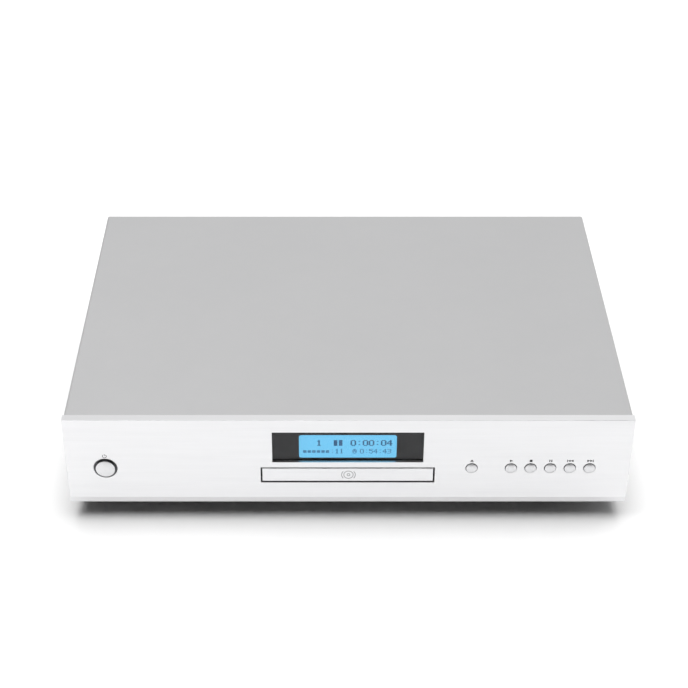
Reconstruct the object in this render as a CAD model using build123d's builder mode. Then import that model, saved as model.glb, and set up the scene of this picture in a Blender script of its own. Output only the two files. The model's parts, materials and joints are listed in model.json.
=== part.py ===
"""A full-width CD player: aluminium faceplate, folded steel case, mains supply, audio
board and a motor-driven disc tray over a tilting pickup deck.

Millimetres. +Z is up, the front faces -Y, and the origin is on the surface that the
feet stand on, under the middle of the width and of the depth. The deck is drawn level,
as it plays, and is then swung down to where it rests while the tray moves.
"""

import os
from math import asin, atan, ceil, cos, floor, pi, radians, sin, sqrt, tan

from build123d import *

# ------------------------------------------------------------------ overall sizes
width = 430.0  # faceplate, side to side
overall_depth = 314.0  # front of the power button to the ends of the phono sockets
face_height = 80.0
foot_height = 18.0  # floor to the faceplate's lower edge
jack_reach = 7.6  # phono sockets beyond the rear edge of the cover
power_proud = 2.4  # power button out of the faceplate

# ------------------------------------------------------------------ sheet metal
sheet = 1.2
sheet_gap = 0.1  # between parts that lie against each other
slip = 0.35  # each side, where the cover slides over the pan
flange = 12.0
flange_turn = 10.0  # edges of the two upright panels, turned in under the cover
case_side_inset = 0.65  # cover's side in from the faceplate's end
case_top_inset = 0.5  # cover's top below the faceplate's top edge
pan_lift = 1.5  # pan's underside above the faceplate's lower edge
bend_radius = 2.2
rear_lip = 11.5

# ------------------------------------------------------------------ faceplate
face_thickness = 7.0
lip_height = 5.8  # chamfer along the faceplate's lower edge
lip_depth = 1.6
edge_break = 0.3

# ------------------------------------------------------------------ front features
feature_shift = -0.2  # the window and the tray sit this far off the middle
window_width = 115.0
window_height = 28.6
window_above = 54.4  # middle of the window above the faceplate's lower edge
window_ledge = 2.2  # faceplate in front of the glass
window_glass = 2.0
window_land = 2.0  # glass behind the faceplate, on every side
glass_play = 0.2
screen_width = 74.4
screen_height = 22.0
screen_above = 52.7
screen_depth = 4.6  # faceplate's front to the screen
screen_thickness = 3.0
screen_corner = 1.3
screen_bezel = (5.8, 3.0)  # frame round the screen, at its ends and above
slot_above = 27.7  # middle of the tray's opening
control_above = 34.4  # all the buttons above the faceplate's lower edge
power_inset = 29.8  # power button in from the left end
power_radius = 7.3
power_hole_radius = 9.05
power_travel = 3.0
power_dome = 1.1
ring_recess = 0.8
button_inset = 30.6  # next button in from the right end
button_pitch = 15.0
button_radius = 4.15
button_gap = 0.4
button_proud = 1.4
button_dome = 0.9
button_travel = 0.6  # a key's stroke onto its switch
button_steps = {"eject": 6, "play": 4, "stop": 3, "pause": 2, "previous": 1, "next": 0}

# ------------------------------------------------------------------ front circuit
switch_size = 6.0
switch_depth = 4.5
stem_radius = 1.6
stem_play = 0.3
board = 1.6  # thickness of every circuit board
main_clearance = 12.4  # main board behind the loader
keys_clearance = 11.1  # key board beside the loader
screw_clearance = 12.5  # flange screws beside the loader
power_switch_size = (14.0, 22.0, 20.0)
power_rod_size = 5.0

# ------------------------------------------------------------------ fixings
screw_radius = 1.5
small_screw_radius = 1.1
thread_play = 0.05
foot_radius = 22.0
foot_pad_radius = 17.0
foot_pad_height = 4.5
foot_inset = 45.0  # foot's axis in from the faceplate's end
foot_setback = 50.0  # foot's axis behind the faceplate, and ahead of the rear edge

# ------------------------------------------------------------------ tray and disc
disc_radius = 60.0
small_disc_radius = 40.0
disc_play = 0.8  # recess's radius over the disc's
tray_rim = 2.7  # tray's edge beside the disc's recess
tray_front_overhang = 2.0  # tray's front past the tray's sides
tray_front_height = 12.3
tray_front_thickness = 4.0
tray_front_recess = 0.2
slot_gap = (1.15, 1.25)  # round the tray's front, at its ends and above and below
tray_head = 9.2  # tray ahead of the disc's recess
tray_tail = 33.2  # tray behind the disc's recess
tray_thickness = 5.6
tray_above_slot = 5.2  # tray's rim above the middle of its opening
recess_depth = 2.5
small_recess_depth = 1.5
rail_height = 4.3
rail_width = 2.5
rail_play = 0.3
tray_overrun = 16.4  # tray's travel past the recess's width
rack_inset = 9.5  # rack's pitch line in from the tray's side
turntable_opening = 18.0  # radius
pickup_opening = 16.0  # half its width
scoop_radius = 9.0

# ------------------------------------------------------------------ gear train
module = 1.0
pressure_angle = 25.0
addendum = 0.8  # of a module
dedendum = 1.15
backlash = 0.24
tray_pinion_teeth = 14
drive_wheel_teeth = 24
pulley_pinion_teeth = 12
drive_bearing = -13.5  # direction from the drive gear to the pulley gear
pulley_groove = 9.6
pulley_rim = 0.9
motor_groove = 3.2
belt_size = 1.1
belt_play = 0.12
post_radius = 1.5
shaft_play = 0.08
motor_radius = 10.5
motor_height = 12.5

# ------------------------------------------------------------------ loader frame
wall_play = 1.0  # tray to the loader's side wall
wall = 3.0
loader_height = 10.2  # walls above the tray's underside
shelf = 2.0
ear_reach = 11.5
ear_width = 14.0
bridge_thickness = 1.2
bridge_width = 30.0
clamper_radius = 15.0
clamper_neck = 9.5
clamper_hole = 11.0
clamper_hang = 3.8  # clamper's face above the disc's recess

# ------------------------------------------------------------------ pickup deck
lift_angle = 5.0
hinge_reach = 108.0  # disc's axis to the hinge
hinge_radius = 2.0
deck_half = 46.0
deck_plate = 1.5
deck_wall = 2.0
deck_skirt = 2.0
disc_lift = 3.0  # turntable above the disc's recess when it plays
turntable_radius = 15.0
turntable_thickness = 3.0
hub_radius = 7.3
hub_height = 2.4
spindle_motor_radius = 11.0
spindle_radius = 1.0
rod_spacing = 43.0
rod_radius = 1.5
lens_start = 23.0  # lens to the disc's axis, at the inner end
lens_margin = 2.0  # and inside the disc's edge, at the outer end
sled_half = 25.0
sled_front = 7.0  # sled ahead of the lens
sled_back = 27.0
sled_module = 0.6
sled_gear_teeth = 12
sled_wheel_teeth = 24
sled_pinion_teeth = 10
sled_bearing = 62.0  # direction from the sled gear to the sled pinion
sled_motor_radius = 7.2
cam_travel = 18.0
cam_pin_radius = 1.5
cam_slot_width = 4.2
cam_pins = (-16.0, 24.0)
cam_thickness = 3.0

# ------------------------------------------------------------------ rear and supply
jack_height = 28.0  # phono sockets above the pan's floor
phono_radius = 4.15
phono_bore = 3.3
jack_bore = 1.8
jack_depth = 12.0
jack_nose = 1.5  # control sockets out of the rear panel
inlet_size = (24.5, 17.0)  # mouth of the mains inlet
inlet_depth = 16.0
inlet_wall = 1.6
pin_size = (2.0, 4.5)
pin_spacing = 14.0
transformer_radius = 46.0
transformer_height = 36.0
board_lift = 5.3
wire_radius = 1.0

# ------------------------------------------------------------------ derived planes
half_width = width / 2
face_top = foot_height + face_height
face_y = power_proud - overall_depth / 2
face_back = face_y + face_thickness
inside_front = face_back + sheet
jack_end = overall_depth / 2
rear_y = jack_end - jack_reach
panel_outer = rear_y - sheet - sheet_gap
panel_inner = panel_outer - sheet
cover_half = half_width - case_side_inset
cover_top = face_top - case_top_inset
pan_half = cover_half - sheet - slip
pan_bottom = foot_height + pan_lift
pan_floor = pan_bottom + sheet
pan_y = (inside_front + sheet_gap, panel_inner - sheet_gap)
flange_top = pan_bottom + flange
panel_top = cover_top - sheet - 4 * sheet_gap
control_z = foot_height + control_above
power_x = power_inset - half_width
button_x = {n: half_width - button_inset - k * button_pitch for n, k in button_steps.items()}
button_hole = button_radius + button_gap
window_z = foot_height + window_above
screen_z = foot_height + screen_above
screen_y = face_y + screen_depth
slot_z = foot_height + slot_above
recess_radius = disc_radius + disc_play
small_recess_radius = small_disc_radius + disc_play
tray_half = recess_radius + tray_rim
tray_front_half = tray_half + tray_front_overhang
slot_half = (tray_front_half + slot_gap[0], tray_front_height / 2 + slot_gap[1])
tray_travel = 2 * recess_radius + tray_overrun  # stroke from closed to open
sled_travel = disc_radius - lens_margin - lens_start

# The tray hangs on the opening that it leaves through, and the deck on the tray.
middle = feature_shift
tray_front_y = face_y + tray_front_recess
tray_y = tray_front_y + tray_front_thickness
disc_y = tray_y + tray_head + recess_radius
tray_rear = disc_y + recess_radius + tray_tail
tray_top = slot_z + tray_above_slot
recess_floor = tray_top - recess_depth
small_floor = recess_floor - small_recess_depth
tray_under = tray_top - tray_thickness
rail_under = tray_under - rail_height
wall_inner = tray_half + wall_play
wall_outer = wall_inner + wall
ledge_top = rail_under - rail_play
loader_top = tray_under + loader_height
loader_front = inside_front + 1.9
loader_rear = tray_rear + 22.4

# Levels of the gear train, from the tray's underside down.
pinion_z = (rail_under, tray_under - 0.4)
pulley_z = (pinion_z[0] - 5.5, pinion_z[0] - 2.5)
wheel_z = (pulley_z[0] - 4.5, pulley_z[0] - 0.5)
shelf_z = (wheel_z[0] - 1 - shelf, wheel_z[0] - 1)

# Levels of the deck, drawn level.
deck_top = tray_under - 7.3
deck_under = deck_top - deck_plate
hinge_y = disc_y + hinge_reach
hinge_z = deck_top + 1
turntable_top = recess_floor + disc_lift
deck_y = (disc_y - 31.6, hinge_y + 3.4)
lens_y = disc_y + lens_start
slider_y = (deck_y[0] - 6.5, deck_y[0] - 6.5 + cam_thickness)

# ------------------------------------------------------------------ helpers
MIDDLE = (Align.CENTER, Align.CENTER, Align.CENTER)
BASE = (Align.CENTER, Align.CENTER, Align.MIN)
HUNG = (Align.CENTER, Align.CENTER, Align.MAX)
TO_BACK = (-90, 0, 0)  # turns an upright axis to +Y
TO_RIGHT = (0, 90, 0)
TO_LEFT = (0, -90, 0)
UPRIGHT = (0, 0, 0)
INVERTED = (180, 0, 0)
CUT = Mode.SUBTRACT


def about(centre, half):
    """The limits that lie `half` to each side of `centre`."""
    return (centre - half, centre + half)


def sides(inner, outer):
    """The same limits on X, right and left of the tray's middle."""
    return ((middle + inner, middle + outer), (middle - outer, middle - inner))


def block(x, y, z, mode=Mode.ADD):
    """A box between two limits on each axis."""
    with Locations((sum(x) / 2, sum(y) / 2, sum(z) / 2)):
        Box(x[1] - x[0], y[1] - y[0], z[1] - z[0], align=MIDDLE, mode=mode)


def rod_back(x, z, radius, y, mode=Mode.ADD):
    """A cylinder along Y between two limits."""
    with Locations((x, y[0], z)):
        Cylinder(radius, y[1] - y[0], rotation=TO_BACK, align=BASE, mode=mode)


def rod_up(x, y, radius, z, mode=Mode.ADD):
    """A cylinder along Z between two limits."""
    with Locations((x, y, z[0])):
        Cylinder(radius, z[1] - z[0], align=BASE, mode=mode)


def screw(x, y, z, turn, radius, length):
    """A cross-recessed screw whose head stands on (x, y, z), turned from upright."""
    head = 1.85 * radius
    rise = 1.1 * radius
    place = Location((x, y, z), turn)
    with Locations(place):
        Cylinder(radius, length, align=HUNG)
        Cylinder(head, rise, align=BASE)
    with Locations(place * Location((0, 0, rise))):
        Box(1.1 * head, 0.22 * head, rise, align=MIDDLE, mode=CUT)
        Box(0.22 * head, 1.1 * head, rise, align=MIDDLE, mode=CUT)


def gear_points(teeth, size, phase):
    """A spur gear's outline, with involute flanks and a tooth centred at `phase` degrees."""
    slope = radians(pressure_angle)
    pitch_radius = teeth * size / 2
    base = pitch_radius * cos(slope)
    tip = pitch_radius + addendum * size
    root = pitch_radius - dedendum * size
    start = max(base, root)
    half_tooth = (pi / 2 - backlash) / teeth + tan(slope) - slope
    flank = [(root, half_tooth)]
    for step in range(5):
        radius = start + (tip - start) * step / 4
        unrolled = sqrt(max((radius / base) ** 2 - 1, 0))
        flank.append((radius, half_tooth - unrolled + atan(unrolled)))
    if root >= base:
        flank.pop(0)
    points = []
    for tooth in range(teeth):
        centre = radians(phase) + 2 * pi * tooth / teeth
        points += [(r * cos(centre - a), r * sin(centre - a)) for r, a in flank]
        points += [(r * cos(centre + a), r * sin(centre + a)) for r, a in reversed(flank)]
    return points


def gear(x, y, z, teeth, size, phase):
    """Adds a spur gear between two heights."""
    with BuildPart() as wheel:
        with BuildSketch(Plane((x, y, z[0]))):
            with BuildLine():
                Polyline(*gear_points(teeth, size, phase), close=True)
            make_face()
        extrude(amount=z[1] - z[0])
    add(wheel.part)


def rack(back_x, pitch_x, y, space_y, z, size):
    """Adds a rack with teeth towards +X and a tooth space centred at `space_y`."""
    slope = tan(radians(pressure_angle))
    pitch = pi * size
    half_tooth = (pitch / 2 - backlash * size) / 2
    root_x = pitch_x - dedendum * size
    tip_x = pitch_x + addendum * size
    half_root = half_tooth + dedendum * size * slope
    half_tip = half_tooth - addendum * size * slope
    first = ceil((y[0] + half_root - space_y) / pitch - 0.5)
    last = floor((y[1] - half_root - space_y) / pitch - 0.5)
    points = [(back_x, y[1]), (back_x, y[0]), (root_x, y[0])]
    for tooth in range(first, last + 1):
        centre = space_y + (tooth + 0.5) * pitch
        points += [(root_x, centre - half_root), (tip_x, centre - half_tip)]
        points += [(tip_x, centre + half_tip), (root_x, centre + half_root)]
    points.append((root_x, y[1]))
    with BuildPart() as bar:
        with BuildSketch(Plane.XY.offset(z[0])):
            with BuildLine():
                Polyline(*points, close=True)
            make_face()
        extrude(amount=z[1] - z[0])
    add(bar.part)


def button_cap(x, radius, dome, proud, rim_y, rim_radius, rim_thickness):
    """Adds a domed round cap along Y with a rim behind the hole that it sits in."""
    peak = face_y - proud
    sphere = (radius**2 + dome**2) / (2 * dome)
    half_turn = asin(radius / sphere) / 2
    shoulder = (sphere * sin(half_turn), peak + sphere * (1 - cos(half_turn)))
    with BuildPart() as cap:
        with BuildSketch(Plane((x, 0, control_z))):
            with BuildLine():
                ThreePointArc((0, peak), shoulder, (radius, peak + dome))
                Polyline(
                    (radius, peak + dome),
                    (radius, rim_y),
                    (rim_radius, rim_y),
                    (rim_radius, rim_y + rim_thickness),
                    (0, rim_y + rim_thickness),
                    (0, peak),
                )
            make_face()
        revolve(axis=Axis((x, 0, control_z), (0, 1, 0)))
    add(cap.part)


def finish(part, name):
    """Labels a finished piece and writes it."""
    part.label = name
    export_step(part, f"parts/{name}.step")


def finish_lowered(part, name):
    """Swings a piece of the deck down to its rest, then finishes it."""
    finish(part.rotate(Axis((middle, hinge_y, hinge_z), (1, 0, 0)), lift_angle), name)


os.makedirs("parts", exist_ok=True)

# ================================================================== case
face_screws = [(x, z) for x in (15 - half_width, half_width - 15) for z in (38.0, face_top - 9)]
face_screws += [(middle + x, face_top - 11) for x in (-100, 100)]
pan_screw_x = (
    -half_width + 35,
    middle - wall_outer - screw_clearance,
    middle + wall_outer + screw_clearance,
    half_width - 35,
)
pan_screw_z = pan_bottom + 0.55 * flange
side_screw_y = (face_y + 60, rear_y - 60)
lip_screw_x = (-half_width + 30, 0.0, half_width - 30)
lip_screw_z = cover_top - rear_lip / 2
inlet_x = foot_inset - half_width
inlet_z = pan_floor + 31
inlet_flange = (48.0, 23.0)
inlet_screws = [(inlet_x + side * 20, inlet_z) for side in (-1, 1)]
jack_z = pan_floor + jack_height
phono_x = (middle + 60, middle + 74, middle + 110)
control_jack_x = (middle + 140, middle + 156)

with BuildPart() as faceplate:
    with BuildSketch(Plane.YZ.offset(-half_width)):
        with BuildLine():
            Polyline(
                (face_back, foot_height),
                (face_y + lip_depth, foot_height),
                (face_y, foot_height + lip_height),
                (face_y, face_top),
                (face_back, face_top),
                close=True,
            )
        make_face()
    extrude(amount=width)
    front = faceplate.faces().sort_by(Axis.Y)[0]
    chamfer(front.edges().filter_by(Axis.Z) + front.edges().sort_by(Axis.Z)[-1:], edge_break)
    block(
        about(middle, window_width / 2),
        (face_y - 1, face_back + 1),
        about(window_z, window_height / 2),
        CUT,
    )
    block(
        about(middle, window_width / 2 + window_land),
        (face_y + window_ledge, face_back + 1),
        about(window_z, window_height / 2 + window_land),
        CUT,
    )
    block(
        about(middle, slot_half[0]),
        (face_y - 1, face_back + 1),
        about(slot_z, slot_half[1]),
        CUT,
    )
    for x in button_x.values():
        rod_back(x, control_z, button_hole, (face_y - 1, face_back + 1), CUT)
    rod_back(power_x, control_z, power_hole_radius, (face_y - 1, face_back + 1), CUT)
    rims = faceplate.edges().filter_by(GeomType.CIRCLE).group_by(Axis.Y)[0]
    chamfer(rims, 0.25)
    for x, z in face_screws:
        rod_back(x, z, screw_radius + thread_play, (face_back - 4, face_back + 1), CUT)
finish(faceplate.part, "faceplate")

lcd_width = screen_width + 2 * screen_bezel[0]
lcd_height = screen_height + 2 * screen_bezel[1]
switch_back = inside_front + 0.9 + switch_depth
board_front = switch_back
display_x = (middle - 62, half_width - 19)
display_z = (screen_z - lcd_height / 2, face_top - 10)
keys_x = (middle + wall_outer + keys_clearance, half_width - 19)
keys_z = (control_z - 12, control_z + 4.8)
display_screws = [(display_x[0] + 5, display_z[1] - 5), (middle + 56, display_z[1] - 5)]
display_screws += [(display_x[1] - 5, display_z[1] - 5), (button_x["eject"] + 15, keys_z[0] + 5)]
tongue_z = control_z - power_switch_size[2] / 2
power_switch_y = (inside_front + 16.4, inside_front + 16.4 + power_switch_size[1])
power_rim = power_radius + 1.7

with BuildPart() as front_subpanel:
    block(about(0, pan_half), (face_back, inside_front), (pan_bottom, panel_top))
    block(about(0, pan_half), (inside_front, inside_front + flange_turn), (panel_top - sheet, panel_top))
    for x in ((-pan_half, sheet - pan_half), (pan_half - sheet, pan_half)):
        block(x, (inside_front, inside_front + flange_turn), (flange_top + 0.3, panel_top))
    block(
        about(middle, lcd_width / 2 + 0.8),
        (face_back - 1, inside_front + 1),
        about(screen_z, lcd_height / 2 + 0.8),
        CUT,
    )
    block(
        about(middle, slot_half[0] + 0.3),
        (face_back - 1, inside_front + 1),
        about(slot_z, slot_half[1] + 0.3),
        CUT,
    )
    for x in button_x.values():
        rod_back(x, control_z, button_radius + 2.4, (face_back - 1, inside_front + 1), CUT)
    rod_back(power_x, control_z, power_hole_radius + 2, (face_back - 1, inside_front + 1), CUT)
    for x, z in face_screws:
        rod_back(x, z, screw_radius + thread_play, (face_back - 1, inside_front + 1), CUT)
    for x in pan_screw_x:
        rod_back(x, pan_screw_z, screw_radius + thread_play, (face_back - 1, inside_front + 1), CUT)
    for x, z in display_screws:
        rod_back(x, z, 2.6, (inside_front, board_front))
        rod_back(x, z, small_screw_radius + thread_play, (inside_front + 0.5, board_front), CUT)
    block(
        about(power_x, power_switch_size[0] / 2 + 2),
        (inside_front, power_switch_y[1]),
        (tongue_z - sheet, tongue_z),
    )
finish(front_subpanel.part, "front_subpanel")

main_x = (middle - 40, half_width - 15)
main_y = (loader_rear + main_clearance, rear_y - 5.6)
main_z = (pan_floor + board_lift, pan_floor + board_lift + board)
supply_x = (10 - half_width, 115 - half_width)
supply_y = (rear_y - 139, rear_y - 19)
board_posts = [(x, y) for x in (main_x[0] + 5, main_x[1] - 5) for y in (main_y[0] + 5, main_y[1] - 10)]
board_posts += [
    (x, y) for x in (supply_x[0] + 5, supply_x[1] - 5) for y in (supply_y[0] + 5, supply_y[1] - 5)
]
feet_at = [
    (x, y)
    for x in (foot_inset - half_width, half_width - foot_inset)
    for y in (face_y + foot_setback, rear_y - foot_setback)
]
ear_y = (disc_y - 20, tray_rear - 4)
bracket_x = wall_outer + ear_reach
pan_vents = [(supply_x[1] + 12, supply_y[0] + 14 + 9 * n) for n in range(9)]

with BuildPart() as base_pan:
    block(about(0, pan_half), pan_y, (pan_bottom, pan_floor))
    for y in ((pan_y[0], pan_y[0] + sheet), (pan_y[1] - sheet, pan_y[1])):
        block(about(0, pan_half), y, (pan_bottom, flange_top))
    for x in ((-pan_half, sheet - pan_half), (pan_half - sheet, pan_half)):
        block(x, pan_y, (pan_bottom, flange_top))
    for x in pan_screw_x:
        rod_back(x, pan_screw_z, screw_radius + thread_play, (pan_y[0] - 1, pan_y[0] + 2), CUT)
        rod_back(x, pan_screw_z, screw_radius + thread_play, (pan_y[1] - 2, pan_y[1] + 1), CUT)
    for y in side_screw_y:
        with Locations((0, y, pan_screw_z)):
            Cylinder(screw_radius + thread_play, width, rotation=TO_RIGHT, mode=CUT)
    for x, y in feet_at:
        rod_up(x, y, 2 + thread_play, (pan_bottom - 1, pan_floor + 1), CUT)
    for x, y in board_posts:
        rod_up(x, y, 3, (pan_floor, main_z[0]))
        rod_up(x, y, small_screw_radius + thread_play, (pan_floor + 0.5, main_z[0]), CUT)
    for side in (-1, 1):
        for y in ear_y:
            x = middle + side * (bracket_x + 5.5)
            rod_up(x, y, screw_radius + thread_play, (pan_bottom - 1, pan_floor + 1), CUT)
    for x, y in pan_vents:
        block(about(x, 14), about(y, 1.5), (pan_bottom - 1, pan_floor + 1), CUT)
finish(base_pan.part, "base_pan")

with BuildPart() as rear_panel:
    block(about(0, pan_half), (panel_inner, panel_outer), (pan_bottom, panel_top))
    block(about(0, pan_half), (panel_inner - flange_turn, panel_inner), (panel_top - sheet, panel_top))
    through = (panel_inner - 1, panel_outer + 1)
    for x in pan_screw_x:
        rod_back(x, pan_screw_z, screw_radius + thread_play, through, CUT)
    for x in lip_screw_x:
        rod_back(x, lip_screw_z, screw_radius + thread_play, through, CUT)
    for x in phono_x:
        rod_back(x, jack_z, phono_radius + 0.4, through, CUT)
    for x in control_jack_x:
        rod_back(x, jack_z, 3.8, through, CUT)
    for x, z in inlet_screws:
        rod_back(x, z, screw_radius + thread_play, through, CUT)
    block(
        about(inlet_x, inlet_size[0] / 2 + inlet_wall + 0.4),
        through,
        about(inlet_z, inlet_size[1] / 2 + inlet_wall + 0.4),
        CUT,
    )
finish(rear_panel.part, "rear_panel")

cover_front = face_back + 2 * sheet_gap

with BuildPart() as top_cover:
    with BuildSketch(Plane.XZ.offset(-cover_front)):
        with BuildLine():
            FilletPolyline(
                (-cover_half, pan_bottom),
                (-cover_half, cover_top),
                (cover_half, cover_top),
                (cover_half, pan_bottom),
                radius=bend_radius,
            )
            offset(amount=sheet, side=Side.RIGHT)
        make_face()
    extrude(amount=cover_front - rear_y)
    block(
        about(0, cover_half - bend_radius),
        (rear_y - sheet, rear_y),
        (cover_top - rear_lip, cover_top - sheet / 2),
    )
    for x in lip_screw_x:
        rod_back(x, lip_screw_z, screw_radius + thread_play, (rear_y - 2, rear_y + 1), CUT)
    for x, turn in ((cover_half, TO_RIGHT), (-cover_half, TO_LEFT)):
        for y in side_screw_y:
            with Locations(Location((x, y, pan_screw_z), turn)):
                Cone(screw_radius + thread_play, 2 * screw_radius + 0.1, sheet, align=HUNG, mode=CUT)
finish(top_cover.part, "top_cover")

with BuildPart() as case_screws:
    for x in lip_screw_x:
        screw(x, rear_y, lip_screw_z, TO_BACK, screw_radius, 6)
    for x in pan_screw_x:
        screw(x, panel_outer, pan_screw_z, TO_BACK, screw_radius, 3.5)
    for x, z in inlet_screws:
        screw(x, panel_outer + 2, z, TO_BACK, screw_radius, 7)
    for x, turn in ((cover_half, TO_RIGHT), (-cover_half, TO_LEFT)):
        for y in side_screw_y:
            with Locations(Location((x, y, pan_screw_z), turn)):
                Cone(screw_radius, 2 * screw_radius, sheet, align=HUNG)
                Cylinder(2 * screw_radius, 0.3, align=BASE)
                Cylinder(screw_radius, 6, align=HUNG)
                Box(3.6, 0.8, 1.6, mode=CUT)
                Box(0.8, 3.6, 1.6, mode=CUT)
finish(case_screws.part, "case_screws")

with BuildPart() as feet:
    for x, y in feet_at:
        rod_up(x, y, foot_radius, (foot_pad_height - 1.5, pan_bottom))
    chamfer(feet.edges().filter_by(GeomType.CIRCLE).group_by(Axis.Z)[0], 1.0)
    for x, y in feet_at:
        rod_up(x, y, foot_pad_radius + 0.1, (foot_pad_height - 2, foot_pad_height), CUT)
        rod_up(x, y, 5.5, (foot_pad_height - 2, pan_bottom - 5), CUT)
        rod_up(x, y, 2 + thread_play, (foot_pad_height, pan_bottom), CUT)
finish(feet.part, "feet")

with BuildPart() as foot_pads:
    for x, y in feet_at:
        rod_up(x, y, foot_pad_radius, (0, foot_pad_height))
    chamfer(foot_pads.edges().filter_by(GeomType.CIRCLE).group_by(Axis.Z)[0], 0.6)
    for x, y in feet_at:
        rod_up(x, y, 6.5, (-1, foot_pad_height + 1), CUT)
finish(foot_pads.part, "foot_pads")

with BuildPart() as foot_screws:
    for x, y in feet_at:
        screw(x, y, pan_bottom - 5, INVERTED, 2.0, 9.5)
finish(foot_screws.part, "foot_screws")

# ================================================================== display and keys
glass_y = (face_y + window_ledge, face_y + window_ledge + window_glass)

with BuildPart() as display_window:
    block(
        about(middle, window_width / 2 + window_land - glass_play),
        glass_y,
        about(window_z, window_height / 2 + window_land - glass_play),
    )
finish(display_window.part, "display_window")

with BuildPart() as lcd_screen:
    with BuildSketch(Plane.XZ.offset(-screen_y)):
        with Locations((middle, screen_z)):
            RectangleRounded(screen_width, screen_height, screen_corner)
    extrude(amount=-screen_thickness)
finish(lcd_screen.part, "lcd_screen")

with BuildPart() as lcd_frame:
    block(
        about(middle, lcd_width / 2),
        (screen_y - 0.1, board_front),
        about(screen_z, lcd_height / 2),
    )
    with BuildSketch(Plane.XZ.offset(0.1 - screen_y)):
        with Locations((middle, screen_z)):
            RectangleRounded(screen_width + 0.2, screen_height + 0.2, screen_corner + 0.1)
    extrude(amount=-screen_thickness - 0.1, mode=CUT)
finish(lcd_frame.part, "lcd_frame")

with BuildPart() as display_board:
    block(display_x, (board_front, board_front + board), display_z)
    block(keys_x, (board_front, board_front + board), (keys_z[0], display_z[0]))
    for x, z in display_screws:
        screw_hole = small_screw_radius + thread_play
        rod_back(x, z, screw_hole, (board_front - 1, board_front + board + 1), CUT)
finish(display_board.part, "display_board")

switch_front = board_front - switch_depth

with BuildPart() as button_switches:
    for x in button_x.values():
        block(about(x, switch_size / 2), (switch_front, board_front), about(control_z, switch_size / 2))
        rod_back(x, control_z, stem_radius + stem_play, (switch_front - 1, switch_front + 1.5), CUT)
finish(button_switches.part, "button_switches")

rim_y = face_back + 0.15
for button_name in button_steps:
    with BuildPart() as button:
        x = button_x[button_name]
        button_cap(x, button_radius, button_dome, button_proud, rim_y, button_radius + 1.6, 1.0)
        rod_back(x, control_z, stem_radius, (rim_y + 1, switch_front + 0.3))
    finish(button.part, f"{button_name}_button")

ring_back = face_back + 1.0

with BuildPart() as power_ring:
    rod_back(power_x, control_z, power_hole_radius - 0.05, (face_y + ring_recess, ring_back))
    rod_back(power_x, control_z, power_hole_radius + 1.5, (face_back + 0.05, ring_back))
    ring_bore = power_radius + 0.3
    rod_back(power_x, control_z, ring_bore, (face_y, ring_back + 1), CUT)
finish(power_ring.part, "power_ring")

power_rim_y = ring_back + 0.2
power_rod_y = (power_rim_y + 1, power_switch_y[0] + 3)

with BuildPart() as power_button:
    button_cap(power_x, power_radius, power_dome, power_proud, power_rim_y, power_rim, 1.0)
finish(power_button.part, "power_button")

with BuildPart() as power_rod:
    half_rod = power_rod_size / 2
    block(about(power_x, half_rod), power_rod_y, about(control_z, half_rod))
finish(power_rod.part, "power_rod")

with BuildPart() as power_switch:
    block(
        about(power_x, power_switch_size[0] / 2),
        power_switch_y,
        about(control_z, power_switch_size[2] / 2),
    )
    block(
        about(power_x, half_rod + 0.3),
        (power_switch_y[0] - 1, power_rod_y[1] + power_travel + 1),
        about(control_z, half_rod + 0.3),
        CUT,
    )
finish(power_switch.part, "power_switch")

# ================================================================== tray
rack_x = middle - tray_half + rack_inset
drive_x = rack_x + module * tray_pinion_teeth / 2
drive_y = loader_front + 14.5

with BuildPart() as tray:
    block(about(middle, tray_half), (tray_y, tray_rear), (tray_under, tray_top))
    fillet(tray.edges().filter_by(Axis.Z).group_by(Axis.Y)[-1], 4)
    for x in sides(tray_half - rail_width, tray_half):
        block(x, (tray_y, tray_rear - 4), (rail_under, tray_under))
    rack(
        middle - tray_half + rail_width,
        rack_x,
        (tray_y + 12, tray_rear),
        drive_y,
        (pinion_z[0] + 0.2, tray_under),
        module,
    )
    for side_x in (-1, 1):
        for side_y in (-1, 1):
            reach = (recess_radius + 2) / sqrt(2)
            scoop = (middle + side_x * reach, disc_y + side_y * reach)
            rod_up(*scoop, scoop_radius, (recess_floor - 0.5, tray_top + 1), CUT)
    rod_up(middle, disc_y, recess_radius, (recess_floor, tray_top + 1), CUT)
    rod_up(middle, disc_y, small_recess_radius, (small_floor, tray_top + 1), CUT)
    rod_up(middle, disc_y, turntable_opening, (rail_under - 1, tray_top), CUT)
    block(
        about(middle, pickup_opening),
        (disc_y, disc_y + recess_radius + 14.6),
        (rail_under - 1, tray_top + 1),
        CUT,
    )
finish(tray.part, "tray")

with BuildPart() as tray_front:
    block(
        about(middle, tray_front_half),
        (tray_front_y, tray_y),
        about(slot_z, tray_front_height / 2),
    )
    chamfer(tray_front.faces().sort_by(Axis.Y)[0].edges(), edge_break)
finish(tray_front.part, "tray_front")

# ================================================================== loader
bearing = radians(drive_bearing)
train = module * (drive_wheel_teeth + pulley_pinion_teeth) / 2
pulley_x = drive_x + train * cos(bearing)
pulley_y = drive_y + train * sin(bearing)
motor_x = middle + 20
motor_y = loader_front + 12.5
pulley_groove_z = (pulley_z[0] + 0.7, pulley_z[1] - 0.7)
motor_z = (shelf_z[1] + 4.3 - motor_height, shelf_z[1] + 4.3)
stud_low = (middle + 10, deck_top - 14.4)
stud_high = (middle + 36, deck_top + 1.5)
ear_z = (shelf_z[1], shelf_z[1] + 3)
frame_bottom = shelf_z[0] - 6
rear_wall = (loader_rear - wall, loader_rear)
clamper_z = recess_floor + clamper_hang
bridge_z = (clamper_z + 5.8, clamper_z + 5.8 + bridge_thickness)
bridge_screws = [(x, y) for x in (middle - wall_outer + wall / 2, middle + wall_outer - wall / 2)
                 for y in about(disc_y, 10)]

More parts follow.
